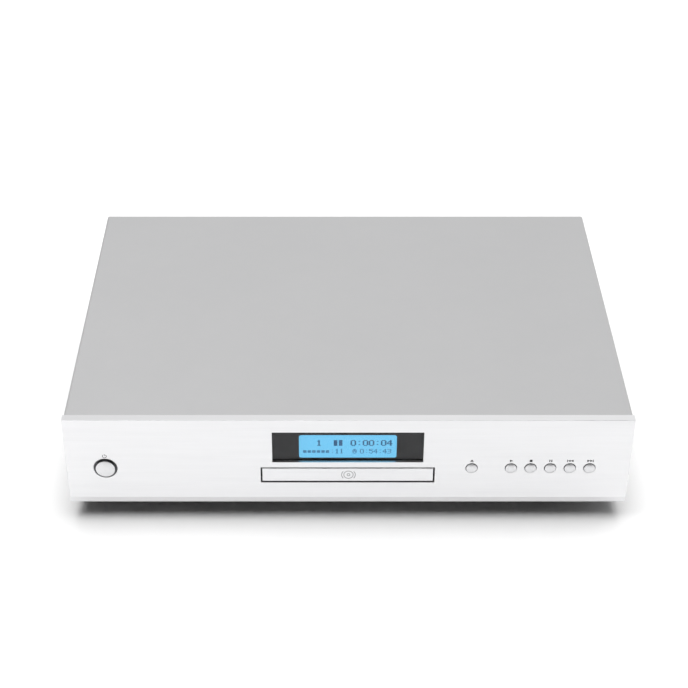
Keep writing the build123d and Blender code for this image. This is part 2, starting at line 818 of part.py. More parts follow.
with BuildPart() as loader_frame:
    for x in sides(wall_inner, wall_outer):
        block(x, (loader_front, loader_rear), (frame_bottom, loader_top))
    for x in sides(wall_inner - 3.7, wall_inner):
        block(x, (loader_front, loader_rear), (ledge_top - 2.2, ledge_top))
    for x in sides(wall_inner - 3, wall_inner):
        for y in ((loader_front + 6, loader_front + 26), (tray_rear - 30, tray_rear - 10)):
            block(x, y, (tray_top + 0.4, tray_top + 2.4))
    block(about(middle, wall_inner), (loader_front, loader_front + 22.5), shelf_z)
    block(
        about(middle, wall_inner),
        (loader_front + 22.5, slider_y[0] - 0.5),
        (frame_bottom, shelf_z[1]),
    )
    block(about(middle, wall_inner), rear_wall, (frame_bottom, loader_top))
    rod_up(motor_x, motor_y, motor_radius + 1.7, (shelf_z[0], motor_z[1] + 0.9))
    rod_up(motor_x, motor_y, motor_radius + 0.2, (frame_bottom - 1, motor_z[1]), CUT)
    rod_up(motor_x, motor_y, 3.2, (motor_z[1] - 1, motor_z[1] + 2), CUT)
    rod_up(drive_x, drive_y, post_radius, (shelf_z[1], pinion_z[1] - 0.5))
    rod_up(drive_x, drive_y, 3, (shelf_z[1], wheel_z[0] - 0.3))
    rod_up(pulley_x, pulley_y, post_radius, (shelf_z[1], pulley_z[1]))
    rod_up(pulley_x, pulley_y, 3, (shelf_z[1], wheel_z[0] - 0.3))
    block(
        about(stud_high[0], 4),
        (loader_front + 22.5, slider_y[0] - 0.5),
        (shelf_z[1], stud_high[1] + 3),
    )
    for x, z in (stud_low, stud_high):
        rod_back(x, z, cam_pin_radius, (slider_y[0] - 0.5, slider_y[1] + 0.4))
    for x in sides(deck_half + 1.5, deck_half + 6):
        block(x, (hinge_y - 5, rear_wall[0]), about(hinge_z, 5))
    with Locations((middle, hinge_y, hinge_z)):
        Cylinder(hinge_radius + 0.15, 2 * deck_half + 16, rotation=TO_RIGHT, mode=CUT)
    for y in ear_y:
        for x in sides(wall_outer, bracket_x):
            block(x, about(y, ear_width / 2), ear_z)
            rod_up(sum(x) / 2, y, screw_radius + thread_play, (ear_z[0] - 1, ear_z[1] + 1), CUT)
    for x, y in bridge_screws:
        rod_up(x, y, small_screw_radius + thread_play, (loader_top - 6, loader_top + 1), CUT)
finish(loader_frame.part, "loader_frame")

with BuildPart() as loader_brackets:
    for y in ear_y:
        along = about(y, ear_width / 2)
        for side in (-1, 1):
            span = [sorted((middle + side * a, middle + side * b)) for a, b in (
                (wall_outer + 1, bracket_x), (bracket_x - sheet, bracket_x), (bracket_x, bracket_x + 10),
            )]
            block(span[0], along, (ear_z[0] - sheet, ear_z[0]))
            block(span[1], along, (pan_floor, ear_z[0]))
            block(span[2], along, (pan_floor, pan_floor + sheet))
            ear_middle = middle + side * (wall_outer + bracket_x) / 2
            hole = screw_radius + thread_play
            rod_up(ear_middle, y, hole, (ear_z[0] - 2, ear_z[0] + 1), CUT)
            rod_up(middle + side * (bracket_x + 5.5), y, hole, (pan_floor - 1, pan_floor + 2), CUT)
finish(loader_brackets.part, "loader_brackets")

with BuildPart() as clamper_bridge:
    block(about(middle, wall_outer), about(disc_y, bridge_width / 2), bridge_z)
    for x in sides(wall_inner, wall_outer):
        block(x, about(disc_y, bridge_width / 2), (loader_top, bridge_z[0]))
    rod_up(middle, disc_y, clamper_hole, (bridge_z[0] - 1, bridge_z[1] + 1), CUT)
    for x, y in bridge_screws:
        rod_up(x, y, small_screw_radius + thread_play, (loader_top - 1, bridge_z[1] + 1), CUT)
finish(clamper_bridge.part, "clamper_bridge")

with BuildPart() as clamper:
    rod_up(middle, disc_y, clamper_radius, (clamper_z, clamper_z + 3))
    rod_up(middle, disc_y, clamper_neck, (clamper_z + 3, bridge_z[1] + 0.2))
    rod_up(middle, disc_y, clamper_hole + 2, (bridge_z[1] + 0.2, bridge_z[1] + 2.2))
    rod_up(middle, disc_y, hub_radius + 0.7, (clamper_z - 1, clamper_z + 2.2), CUT)
finish(clamper.part, "clamper")

with BuildPart() as loading_motor:
    rod_up(motor_x, motor_y, motor_radius, motor_z)
    rod_up(motor_x, motor_y, spindle_radius, (motor_z[1], pulley_z[1]))
finish(loading_motor.part, "loading_motor")

with BuildPart() as motor_pulley:
    rod_up(motor_x, motor_y, motor_groove + pulley_rim, pulley_z)
    with BuildSketch(Plane((motor_x, motor_y, pulley_groove_z[0]))):
        Circle(motor_groove + 5)
        Circle(motor_groove, mode=CUT)
    extrude(amount=pulley_groove_z[1] - pulley_groove_z[0], mode=CUT)
    rod_up(motor_x, motor_y, spindle_radius + shaft_play, (pulley_z[0] - 1, pulley_z[1] + 1), CUT)
finish(motor_pulley.part, "motor_pulley")

with BuildPart() as pulley_gear:
    gear(pulley_x, pulley_y, wheel_z, pulley_pinion_teeth, module,
         drive_bearing + 180 + 180 / pulley_pinion_teeth)
    rod_up(pulley_x, pulley_y, 4, (wheel_z[1], pulley_z[0]))
    rod_up(pulley_x, pulley_y, pulley_groove + pulley_rim, pulley_z)
    with BuildSketch(Plane((pulley_x, pulley_y, pulley_groove_z[0]))):
        Circle(pulley_groove + 5)
        Circle(pulley_groove, mode=CUT)
    extrude(amount=pulley_groove_z[1] - pulley_groove_z[0], mode=CUT)
    rod_up(pulley_x, pulley_y, post_radius + shaft_play, (wheel_z[0] - 1, pulley_z[1] + 1), CUT)
finish(pulley_gear.part, "pulley_gear")

with BuildPart() as drive_gear:
    gear(drive_x, drive_y, wheel_z, drive_wheel_teeth, module, drive_bearing)
    rod_up(drive_x, drive_y, 5, (wheel_z[1], pinion_z[0]))
    gear(drive_x, drive_y, pinion_z, tray_pinion_teeth, module, 180)
    rod_up(drive_x, drive_y, post_radius + shaft_play, (wheel_z[0] - 1, pinion_z[1] + 1), CUT)
finish(drive_gear.part, "drive_gear")

belt_z = about(sum(pulley_z) / 2, belt_size / 2)

with BuildPart() as loading_belt:
    for inner, mode in ((belt_size + belt_play, Mode.ADD), (belt_play, CUT)):
        with BuildSketch(Plane.XY.offset(belt_z[0])):
            with Locations((motor_x, motor_y)):
                Circle(motor_groove + inner)
            with Locations((pulley_x, pulley_y)):
                Circle(pulley_groove + inner)
            make_hull()
        extrude(amount=belt_size, mode=mode)
finish(loading_belt.part, "loading_belt")

slider_mid = sum(slider_y) / 2
pin_drop = (hinge_y - slider_mid) * tan(radians(lift_angle))
slider_x = (middle - 40, middle + 41)

with BuildPart() as cam_slider:
    block(slider_x, slider_y, (pan_floor + 0.7, hinge_z + 3.3))
    with BuildSketch(Plane.XZ.offset(-slider_mid)):
        for pin in cam_pins:
            low = Vector(middle + pin, hinge_z - pin_drop)
            high = Vector(middle + pin - cam_travel, hinge_z)
            SlotCenterPoint((low + high) / 2, high, cam_slot_width)
        for x, z in (stud_low, stud_high):
            SlotCenterPoint((x - cam_travel / 2, z), (x + 0.4, z), 2 * cam_pin_radius + 0.6)
    extrude(amount=cam_thickness, both=True, mode=CUT)
finish(cam_slider.part, "cam_slider")

# ================================================================== pickup deck
rack_pitch_x = middle + 28
sled_gear_x = rack_pitch_x + sled_module * sled_gear_teeth / 2
sled_gear_y = lens_y + 27.4
bearing = radians(sled_bearing)
train = sled_module * (sled_wheel_teeth + sled_pinion_teeth) / 2
sled_pinion_x = sled_gear_x + train * cos(bearing)
sled_pinion_y = sled_gear_y + train * sin(bearing)
sled_wheel_z = (deck_top + 0.3, deck_top + 2.1)
sled_rack_z = (deck_top + 2.3, deck_top + 4.1)
rod_z = deck_under - rod_radius
rod_x = [middle - rod_spacing / 2, middle + rod_spacing / 2]
opening_y = (lens_y - sled_front - 1.6, lens_y + sled_back + sled_travel + 1.4)
motor_top = turntable_top - turntable_thickness - 1.9

with BuildPart() as traverse_frame:
    block(about(middle, deck_half), deck_y, (deck_under, deck_top))
    for x in sides(deck_half - deck_wall, deck_half):
        block(x, deck_y, (deck_under - deck_skirt, deck_top))
    block(about(middle, deck_half), (deck_y[0], deck_y[0] + deck_wall), (deck_under - deck_skirt, deck_top))
    block(about(middle, sled_half + 2), opening_y, (deck_under - 1, deck_top + 1), CUT)
    rod_up(middle, disc_y, 8.2, (deck_under - 1, deck_top + 1), CUT)
    for pin in cam_pins:
        block(about(middle + pin, 3.5), (deck_y[0], deck_y[0] + 4), (deck_under, hinge_z + 2))
        rod_back(middle + pin, hinge_z, cam_pin_radius, (slider_y[0] + 0.2, deck_y[0]))
    for x in sides(deck_half - 4, deck_half):
        block(x, (deck_y[1] - 7, deck_y[1]), (deck_under, hinge_z + 2.6))
    for x in (middle - deck_half, middle + deck_half):
        with Locations((x, hinge_y, hinge_z)):
            Cylinder(hinge_radius, 11, rotation=TO_RIGHT)
    for x in rod_x:
        for y in ((opening_y[0] - 4, opening_y[0]), (opening_y[1], opening_y[1] + 4)):
            block(about(x, 2.6), y, (rod_z - 2.2, deck_under))
        rod_back(x, rod_z, rod_radius, (opening_y[0] - 3, opening_y[1] + 3), CUT)
    rod_up(sled_gear_x, sled_gear_y, 1, (deck_top, sled_rack_z[1]))
    rod_up(sled_pinion_x, sled_pinion_y, 1.6, (deck_under - 1, deck_top + 1), CUT)
finish_lowered(traverse_frame.part, "traverse_frame")

with BuildPart() as spindle_motor:
    rod_up(middle, disc_y, spindle_motor_radius, (deck_top, motor_top))
    rod_up(middle, disc_y, 8, (deck_top - 5, deck_top))
    rod_up(middle, disc_y, spindle_radius, (motor_top, turntable_top))
finish_lowered(spindle_motor.part, "spindle_motor")

with BuildPart() as turntable:
    rod_up(middle, disc_y, 4, (motor_top + 0.3, turntable_top))
    rod_up(middle, disc_y, turntable_radius, (turntable_top - turntable_thickness, turntable_top))
    rod_up(middle, disc_y, hub_radius, (turntable_top, turntable_top + hub_height))
    chamfer(turntable.edges().filter_by(GeomType.CIRCLE).group_by(Axis.Z)[-1], 1)
    bore = spindle_radius + shaft_play
    rod_up(middle, disc_y, bore, (motor_top, turntable_top + 0.3), CUT)
finish_lowered(turntable.part, "turntable")

with BuildPart() as sled_rods:
    for x in rod_x:
        rod_back(x, rod_z, rod_radius, (opening_y[0] - 3, opening_y[1] + 3))
finish_lowered(sled_rods.part, "sled_rods")

sled_y = (lens_y - sled_front, lens_y + sled_back)
actuator_top = turntable_top - 3.2

with BuildPart() as pickup:
    block(about(middle, sled_half), sled_y, (rod_z - 2.5, deck_top + 0.2))
    block(about(middle, 11), (sled_y[0], lens_y + 14), (deck_top + 0.2, actuator_top))
    for x in rod_x:
        rod_back(x, rod_z, rod_radius + 0.1, (sled_y[0] - 1, sled_y[1] + 1), CUT)
    block((middle + 19, middle + 23.4), sled_y, (deck_top + 0.2, sled_rack_z[1]))
    rack(
        middle + 19,
        rack_pitch_x,
        (sled_gear_y - sled_travel - 4, sled_gear_y + 3),
        sled_gear_y,
        sled_rack_z,
        sled_module,
    )
finish_lowered(pickup.part, "pickup")

with BuildPart() as pickup_lens:
    rod_up(middle, lens_y, 3.4, (actuator_top, actuator_top + 0.4))
    with Locations((middle, lens_y, actuator_top + 0.4)):
        Cone(2.4, 1.4, 0.5, align=BASE)
finish_lowered(pickup_lens.part, "pickup_lens")

with BuildPart() as sled_gear:
    gear(sled_gear_x, sled_gear_y, sled_wheel_z, sled_wheel_teeth, sled_module, sled_bearing)
    rod_up(sled_gear_x, sled_gear_y, 2.4, (sled_wheel_z[1], sled_rack_z[0]))
    gear(sled_gear_x, sled_gear_y, sled_rack_z, sled_gear_teeth, sled_module, 180)
    bore = 1 + shaft_play
    rod_up(sled_gear_x, sled_gear_y, bore, (sled_wheel_z[0] - 1, sled_rack_z[1] + 1), CUT)
finish_lowered(sled_gear.part, "sled_gear")

with BuildPart() as sled_pinion:
    phase = sled_bearing + 180 + 180 / sled_pinion_teeth
    gear(sled_pinion_x, sled_pinion_y, sled_wheel_z, sled_pinion_teeth, sled_module, phase)
    bore = 0.75 + shaft_play
    rod_up(sled_pinion_x, sled_pinion_y, bore, (deck_top, sled_wheel_z[1] + 1), CUT)
finish_lowered(sled_pinion.part, "sled_pinion")

with BuildPart() as sled_motor:
    rod_up(sled_pinion_x, sled_pinion_y, sled_motor_radius, (deck_under - 10, deck_under))
    rod_up(sled_pinion_x, sled_pinion_y, 0.75, (deck_under, sled_wheel_z[1]))
finish_lowered(sled_motor.part, "sled_motor")

# ================================================================== circuits
with BuildPart() as main_board:
    block(main_x, main_y, main_z)
    for x, y in board_posts[:4]:
        rod_up(x, y, small_screw_radius + thread_play, (main_z[0] - 1, main_z[1] + 1), CUT)
finish(main_board.part, "main_board")

supply_middle = sum(supply_x) / 2
lead_x = [supply_middle + 3.5 * n for n in (-2, -1, 0, 1, 2)]
plug_z = (main_z[1], main_z[1] + 12)
plug_y = (supply_y[0] + 6, supply_y[0] + 13)

with BuildPart() as power_board:
    block(supply_x, supply_y, main_z)
    for x, y in board_posts[4:]:
        rod_up(x, y, small_screw_radius + thread_play, (main_z[0] - 1, main_z[1] + 1), CUT)
    block(about(supply_middle, 10), plug_y, plug_z)
finish(power_board.part, "power_board")

capacitor_row = main_y[1] - 30
chip_row = (main_y[0] + capacitor_row) / 2

with BuildPart() as capacitors:
    for x in (supply_x[1] - 20, supply_x[1] - 46):
        rod_up(x, supply_y[0] + 34, 11, (main_z[1], main_z[1] + 32))
    for n in range(4):
        rod_up(supply_x[1] - 16 - 16 * n, supply_y[0] + 58, 5, (main_z[1], main_z[1] + 14))
    for n in range(6):
        rod_up(main_x[0] + 92 + 15 * n, capacitor_row, 4, (main_z[1], main_z[1] + 11))
    tops = capacitors.edges().filter_by(GeomType.CIRCLE).filter_by(lambda e: e.center().Z > main_z[1] + 1)
    fillet(tops, 0.8)
finish(capacitors.part, "capacitors")

with BuildPart() as chips:
    for x, size in ((20, 14), (62, 20), (110, 14), (150, 10), (190, 10)):
        block(about(main_x[0] + x, size / 2), about(chip_row, size / 2), (main_z[1], main_z[1] + 2.2))
finish(chips.part, "chips")

with BuildPart() as heat_sink:
    sink_y = supply_y[0] + 78
    sink_x = (supply_x[1] - 68, supply_x[1] - 10)
    block(sink_x, (sink_y, sink_y + 3), (main_z[1], main_z[1] + 34))
    for n in range(8):
        x = sink_x[0] + n * (sink_x[1] - sink_x[0] - 2) / 7
        block((x, x + 2), (sink_y + 3, sink_y + 16), (main_z[1], main_z[1] + 34))
finish(heat_sink.part, "heat_sink")

transformer_x = 65 - half_width
transformer_y = face_y + 102.6
transformer_z = (pan_floor + 2, pan_floor + 2 + transformer_height)

with BuildPart() as transformer:
    with BuildSketch(Plane((transformer_x, 0, 0), x_dir=(1, 0, 0), z_dir=(0, -1, 0))):
        with Locations((30, sum(transformer_z) / 2)):
            RectangleRounded(2 * transformer_radius - 60, transformer_height, 9)
    revolve(axis=Axis((transformer_x, 0, 0), (0, 0, 1)))
    lead_exit = transformer_radius - 3
    block(about(supply_middle, 10), (lead_exit - 9, lead_exit + 5), (pan_floor + 3, pan_floor + 11))
finish(transformer.part.moved(Location((0, transformer_y, 0))), "transformer")

with BuildPart() as transformer_clamp:
    rod_up(transformer_x, transformer_y, 38, (pan_floor, transformer_z[0]))
    rod_up(transformer_x, transformer_y, 24, (transformer_z[1], transformer_z[1] + 2))
    rod_up(transformer_x, transformer_y, 3, (transformer_z[0], transformer_z[1] + 7))
    with BuildSketch(Plane((transformer_x, transformer_y, transformer_z[1] + 2))):
        RegularPolygon(6, 6)
    extrude(amount=4.5)
finish(transformer_clamp.part, "transformer_clamp")

wire_front = transformer_y + lead_exit + 5

with BuildPart() as wire_leads:
    for x in lead_x:
        with BuildLine(Plane((x, 0, 0), x_dir=(0, 1, 0), z_dir=(1, 0, 0))) as route:
            rise = (pan_floor + 7, main_z[1] + 9)
            FilletPolyline(
                (wire_front, rise[0]),
                (wire_front + 7, rise[0]),
                (plug_y[0] - 7, rise[1]),
                (plug_y[0], rise[1]),
                radius=3,
            )
        with BuildSketch(Plane((x, wire_front, rise[0]), x_dir=(1, 0, 0), z_dir=(0, 1, 0))):
            Circle(wire_radius)
        sweep(path=route.line)
finish(wire_leads.part, "wire_leads")

# ================================================================== sockets
with BuildPart() as rca_barrels:
    for x in phono_x:
        rod_back(x, jack_z, phono_radius, (panel_outer, jack_end))
        rod_back(x, jack_z, phono_radius + 0.25, (pan_y[1] - sheet - 0.2, panel_outer))
        rod_back(x, jack_z, phono_bore, (jack_end - 9, jack_end + 1), CUT)
finish(rca_barrels.part, "rca_barrels")

with BuildPart() as rca_bodies:
    body_y = (pan_y[1] - sheet - 12, pan_y[1] - sheet - 0.2)
    for x in ((phono_x[0] - 7, phono_x[1] + 7), (phono_x[2] - 7, phono_x[2] + 7)):
        block(x, body_y, (main_z[1], jack_z + 8))
    for x in phono_x:
        rod_back(x, jack_z, phono_bore, (jack_end - 9, jack_end - 0.6))
        rod_back(x, jack_z, 1.7, (jack_end - 8, jack_end + 1), CUT)
finish(rca_bodies.part, "rca_bodies")

with BuildPart() as control_jacks:
    nose_y = panel_outer + jack_nose
    for x in control_jack_x:
        block(about(x, 6), body_y, (main_z[1], jack_z + 6))
        rod_back(x, jack_z, 3.6, (body_y[1], nose_y))
        rod_back(x, jack_z, jack_bore, (nose_y - jack_depth, nose_y + 1), CUT)
finish(control_jacks.part, "control_jacks")

inlet_front = panel_outer + 2
inlet_floor = inlet_front - inlet_depth

with BuildPart() as mains_inlet:
    block(
        about(inlet_x, inlet_flange[0] / 2),
        (panel_outer, inlet_front),
        about(inlet_z, inlet_flange[1] / 2),
    )
    block(
        about(inlet_x, inlet_size[0] / 2 + inlet_wall),
        (inlet_floor - 6, panel_outer),
        about(inlet_z, inlet_size[1] / 2 + inlet_wall),
    )
    block(
        about(inlet_x, inlet_size[0] / 2),
        (inlet_floor, inlet_front + 1),
        about(inlet_z, inlet_size[1] / 2),
        CUT,
    )
    for side in (-1, 1):
        x = inlet_x + side * pin_spacing / 2
        pin_y = (inlet_floor - 7, inlet_floor + 1)
        block(about(x, pin_size[0] / 2), pin_y, about(inlet_z, pin_size[1] / 2), CUT)
    for x, z in inlet_screws:
        rod_back(x, z, screw_radius + thread_play, (panel_outer - 1, inlet_front + 1), CUT)
finish(mains_inlet.part, "mains_inlet")

with BuildPart() as inlet_pins:
    for side in (-1, 1):
        x = inlet_x + side * pin_spacing / 2
        pin_y = (inlet_floor - 12, inlet_front - 2)
        block(about(x, pin_size[0] / 2), pin_y, about(inlet_z, pin_size[1] / 2))
finish(inlet_pins.part, "inlet_pins")

# ================================================================== inner fixings
with BuildPart() as inner_screws:
    for x, z in face_screws:
        screw(x, inside_front, z, TO_BACK, screw_radius, 4.5)
    for x in pan_screw_x:
        screw(x, pan_y[0] + sheet, pan_screw_z, TO_BACK, screw_radius, 2.4)
    for x, z in display_screws:
        screw(x, board_front + board, z, TO_BACK, small_screw_radius, 4.5)
    for x, y in board_posts:
        screw(x, y, main_z[1], UPRIGHT, small_screw_radius, 5.5)
    for y in ear_y:
        for side in (-1, 1):
            ear_middle = middle + side * (wall_outer + bracket_x) / 2
            screw(ear_middle, y, ear_z[1], UPRIGHT, screw_radius, 5.5)
            screw(middle + side * (bracket_x + 5.5), y, pan_floor + sheet, UPRIGHT, screw_radius, 3.5)
    for x, y in bridge_screws:
        screw(x, y, bridge_z[1], UPRIGHT, small_screw_radius, 8)
finish(inner_screws.part, "inner_screws")

ribbon_x = about(button_x["eject"] + 10, 9)

with BuildPart() as display_ribbon:
    with BuildSketch(Plane((ribbon_x[0], 0, 0), x_dir=(0, 1, 0), z_dir=(1, 0, 0))):
        with BuildLine():
            FilletPolyline(
                (board_front + board, keys_z[0] + 16),
                (board_front + board + 14, keys_z[0] + 16),
                (board_front + board + 26, pan_floor + 3),
                (main_y[0] - 22, pan_floor + 3),
                (main_y[0] - 8, main_z[1] + 3),
                (main_y[0] + 6, main_z[1] + 0.3),
                radius=4,
            )
            offset(amount=0.3, side=Side.LEFT)
        make_face()
    extrude(amount=ribbon_x[1] - ribbon_x[0])
finish(display_ribbon.part, "display_ribbon")
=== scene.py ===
"""Looks of a full-width disc player: printed marks, a lit display, rear socket trim and every finish.

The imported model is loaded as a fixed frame. The pieces made here are placed from its boxes, ride on its
bodies, and each of its nodes gets a procedural finish. Sizes in the classes are in millimetres.
"""

import json
import logging
import math
from collections.abc import Callable, Iterable, Iterator
from contextlib import contextmanager
from dataclasses import dataclass, field
from enum import Enum

import bmesh
import bpy
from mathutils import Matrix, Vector


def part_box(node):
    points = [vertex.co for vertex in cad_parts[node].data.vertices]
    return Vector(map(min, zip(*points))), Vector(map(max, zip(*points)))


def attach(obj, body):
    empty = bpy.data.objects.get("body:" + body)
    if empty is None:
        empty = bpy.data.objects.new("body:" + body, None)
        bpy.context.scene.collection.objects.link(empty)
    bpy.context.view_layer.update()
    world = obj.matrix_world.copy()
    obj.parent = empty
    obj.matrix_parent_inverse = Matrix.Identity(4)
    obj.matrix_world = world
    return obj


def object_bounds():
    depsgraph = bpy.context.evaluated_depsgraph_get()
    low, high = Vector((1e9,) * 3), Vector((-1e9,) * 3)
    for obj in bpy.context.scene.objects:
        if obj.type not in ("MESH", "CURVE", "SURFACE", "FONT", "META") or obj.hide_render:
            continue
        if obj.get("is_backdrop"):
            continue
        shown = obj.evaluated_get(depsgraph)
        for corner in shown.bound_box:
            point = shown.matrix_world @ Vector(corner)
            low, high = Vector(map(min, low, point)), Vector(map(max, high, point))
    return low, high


LOG = logging.getLogger("disc_player")
MM = 0.001

Colour = tuple[float, float, float]
Point = tuple[float, float, float]
Piece = bpy.types.Object
Socket = bpy.types.NodeSocket

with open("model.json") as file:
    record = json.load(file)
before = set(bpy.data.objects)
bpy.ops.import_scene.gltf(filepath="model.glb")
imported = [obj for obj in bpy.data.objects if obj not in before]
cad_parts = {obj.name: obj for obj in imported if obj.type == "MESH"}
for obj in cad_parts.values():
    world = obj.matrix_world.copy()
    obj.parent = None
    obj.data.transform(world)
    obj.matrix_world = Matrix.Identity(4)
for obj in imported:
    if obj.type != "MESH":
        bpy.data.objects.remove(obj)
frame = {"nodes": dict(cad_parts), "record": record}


# ------------------------------------------------------------------ modelling by operator
def deselect_all() -> None:
    """Leaves nothing selected, so that an operator acts only on what is chosen next."""
    for piece in bpy.context.selected_objects:
        piece.select_set(False)


def choose(*pieces: Piece) -> None:
    """Selects these pieces alone, with the first one active.

    Args:
        pieces: The objects that the next operator acts on.
    """
    deselect_all()
    for piece in pieces:
        piece.select_set(True)
    bpy.context.view_layer.objects.active = pieces[0]


def settle(piece: Piece) -> Piece:
    """Moves the piece's place, turn and scale into its mesh, and leaves the object at the origin.

    Args:
        piece: A mesh object.

    Returns:
        The same object.
    """
    choose(piece)
    bpy.ops.object.transform_apply(location=True, rotation=True, scale=True)
    return piece


def named(piece: Piece, name: str) -> Piece:
    """Names the object and its mesh."""
    piece.name = name
    piece.data.name = name
    return piece


@contextmanager
def editing(piece: Piece, mode: str = "FACE") -> Iterator[None]:
    """Holds the piece in edit mode with nothing selected.

    Args:
        piece: The mesh object to edit.
        mode: VERT, EDGE or FACE.
    """
    choose(piece)
    bpy.ops.object.mode_set(mode="EDIT")
    bpy.ops.mesh.select_mode(type=mode)
    bpy.ops.mesh.select_all(action="DESELECT")
    yield
    bpy.ops.object.mode_set(mode="OBJECT")


def pick_faces(
    piece: Piece,
    facing: Point,
    where: Callable[[Vector], bool] = lambda centre: True,
) -> Vector:
    """Selects the faces that look one way.

    Args:
        piece: The mesh object, in edit mode.
        facing: The direction that the faces look in.
        where: Tells from a face's middle whether it is wanted.

    Returns:
        The middle of the selected faces.
    """
    mesh = bmesh.from_edit_mesh(piece.data)
    towards = Vector(facing).normalized()
    found = []
    for face in mesh.faces:
        face.select_set(face.normal.dot(towards) > 0.9 and where(face.calc_center_median()))
        if face.select:
            found.append(face.calc_center_median())
    mesh.select_flush_mode()
    bmesh.update_edit_mesh(piece.data)
    return sum(found, Vector()) / max(1, len(found))


def pick_edges(piece: Piece, where: Callable[[Vector, Vector], bool]) -> None:
    """Selects edges by their two ends.

    Args:
        piece: The mesh object, in edit mode.
        where: Tells from an edge's ends whether it is wanted.
    """
    mesh = bmesh.from_edit_mesh(piece.data)
    for edge in mesh.edges:
        edge.select_set(where(edge.verts[0].co, edge.verts[1].co))
    mesh.select_flush_mode()
    bmesh.update_edit_mesh(piece.data)


def slab(name: str, low: Point, high: Point) -> Piece:
    """A block between two corners.

    Args:
        name: The piece's name.
        low: Its lowest corner, in millimetres.
        high: Its highest corner, in millimetres.

    Returns:
        The block, with its place in its mesh.
    """
    deselect_all()
    middle = [(a + b) / 2 * MM for a, b in zip(low, high)]
    bpy.ops.mesh.primitive_cube_add(size=1, location=middle)
    piece = named(bpy.context.active_object, name)
    piece.scale = [(b - a) * MM for a, b in zip(low, high)]
    return settle(piece)


def apply_bevel(piece: Piece, width: float, segments: int = 1) -> Piece:
    """Breaks the piece's sharp edges with a Bevel modifier, and applies it.

    Args:
        piece: A mesh object.
        width: The bevel's width, in millimetres.
        segments: How many steps it has.

    Returns:
        The same piece.
    """
    choose(piece)
    bevel = piece.modifiers.new("Broken edges", "BEVEL")
    bevel.width = width * MM
    bevel.segments = segments
    bevel.limit_method = "ANGLE"
    bevel.angle_limit = math.radians(40)
    bpy.ops.object.modifier_apply(modifier=bevel.name)
    return piece


def joined(name: str, pieces: list[Piece]) -> Piece:
    """Makes one piece of several.

    Args:
        name: The new piece's name.
        pieces: The mesh objects to join.

    Returns:
        The joined piece, at the origin.
    """
    choose(*pieces)
    if len(pieces) > 1:
        bpy.ops.object.join()
    return settle(named(pieces[0], name))


def copied(piece: Piece, by: Point) -> Piece:
    """Another of the piece, with its own mesh.

    Args:
        piece: What to copy.
        by: How far the copy stands from it, in millimetres.

    Returns:
        The copy.
    """
    copy = piece.copy()
    copy.data = piece.data.copy()
    bpy.context.scene.collection.objects.link(copy)
    copy.location = [d * MM for d in by]
    return settle(copy)


def hoop(
    name: str,
    centre: Point,
    radii: tuple[float, float],
    depth: tuple[float, float],
    sweep: float = 360.0,
    start: float = 0.0,
    steps: int = 48,
) -> Piece:
    """A flat ring, or part of one, that faces along Y.

    Args:
        name: The piece's name.
        centre: The ring's middle, in millimetres. Its Y is where depth is measured from.
        radii: Inner and outer radius.
        depth: Where it starts and ends along Y.
        sweep: How far round it goes, in degrees.
        start: Where it starts, in degrees clockwise from the top, seen from the front.
        steps: How many steps the sweep has.

    Returns:
        The ring, with its place in its mesh.
    """
    deselect_all()
    bpy.ops.mesh.primitive_plane_add(
        size=1,
        rotation=(0, math.pi / 2, 0),
        location=(0, sum(depth) / 2 * MM, sum(radii) / 2 * MM),
    )
    piece = named(bpy.context.active_object, name)
    piece.scale = ((radii[1] - radii[0]) * MM, (depth[1] - depth[0]) * MM, 1)
    settle(piece)
    whole = sweep >= 360
    with editing(piece, "EDGE"):
        bpy.ops.mesh.select_all(action="SELECT")
        bpy.ops.mesh.delete(type="ONLY_FACE")
        bpy.ops.mesh.select_all(action="SELECT")
        bpy.ops.mesh.spin(
            steps=steps,
            angle=-math.radians(sweep),
            center=(0, 0, 0),
            axis=(0, 1, 0),
            use_auto_merge=whole,
        )
        bpy.ops.mesh.select_all(action="SELECT")
        bpy.ops.mesh.remove_doubles(threshold=1e-7)
        if not whole:
            bpy.ops.mesh.select_all(action="DESELECT")
            bpy.ops.mesh.select_non_manifold()
            bpy.ops.mesh.fill_holes(sides=0)
        bpy.ops.mesh.select_all(action="SELECT")
        bpy.ops.mesh.normals_make_consistent(inside=False)
    piece.rotation_euler = (0, math.radians(start), 0)
    piece.location = [c * MM for c in centre]
    return settle(piece)


def middle_of(node: str) -> Vector:
    """The middle of a CAD node's box, in millimetres."""
    low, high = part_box(node)
    return (low + high) / 2 / MM


def low_of(node: str) -> Vector:
    """The lowest corner of a CAD node's box, in millimetres."""
    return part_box(node)[0] / MM


def high_of(node: str) -> Vector:
    """The highest corner of a CAD node's box, in millimetres."""
    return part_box(node)[1] / MM


def mount_x(name: str) -> float:
    """The X of one of the record's mounts, in millimetres."""
    places = {mount["name"]: mount["pos_m"] for mount in frame["record"]["mounts"]}
    return places[name][0] / MM


# ------------------------------------------------------------------ shared effects
class Effect(Enum):
    """The node groups that more than one finish uses."""

    BRUSHED_LINES = "Brushed Lines"
    MOULDED_GRAIN = "Moulded Grain"
    HANDLING_MARKS = "Handling Marks"
    SETTLED_DUST = "Settled Dust"
    TURNED_RINGS = "Turned Rings"


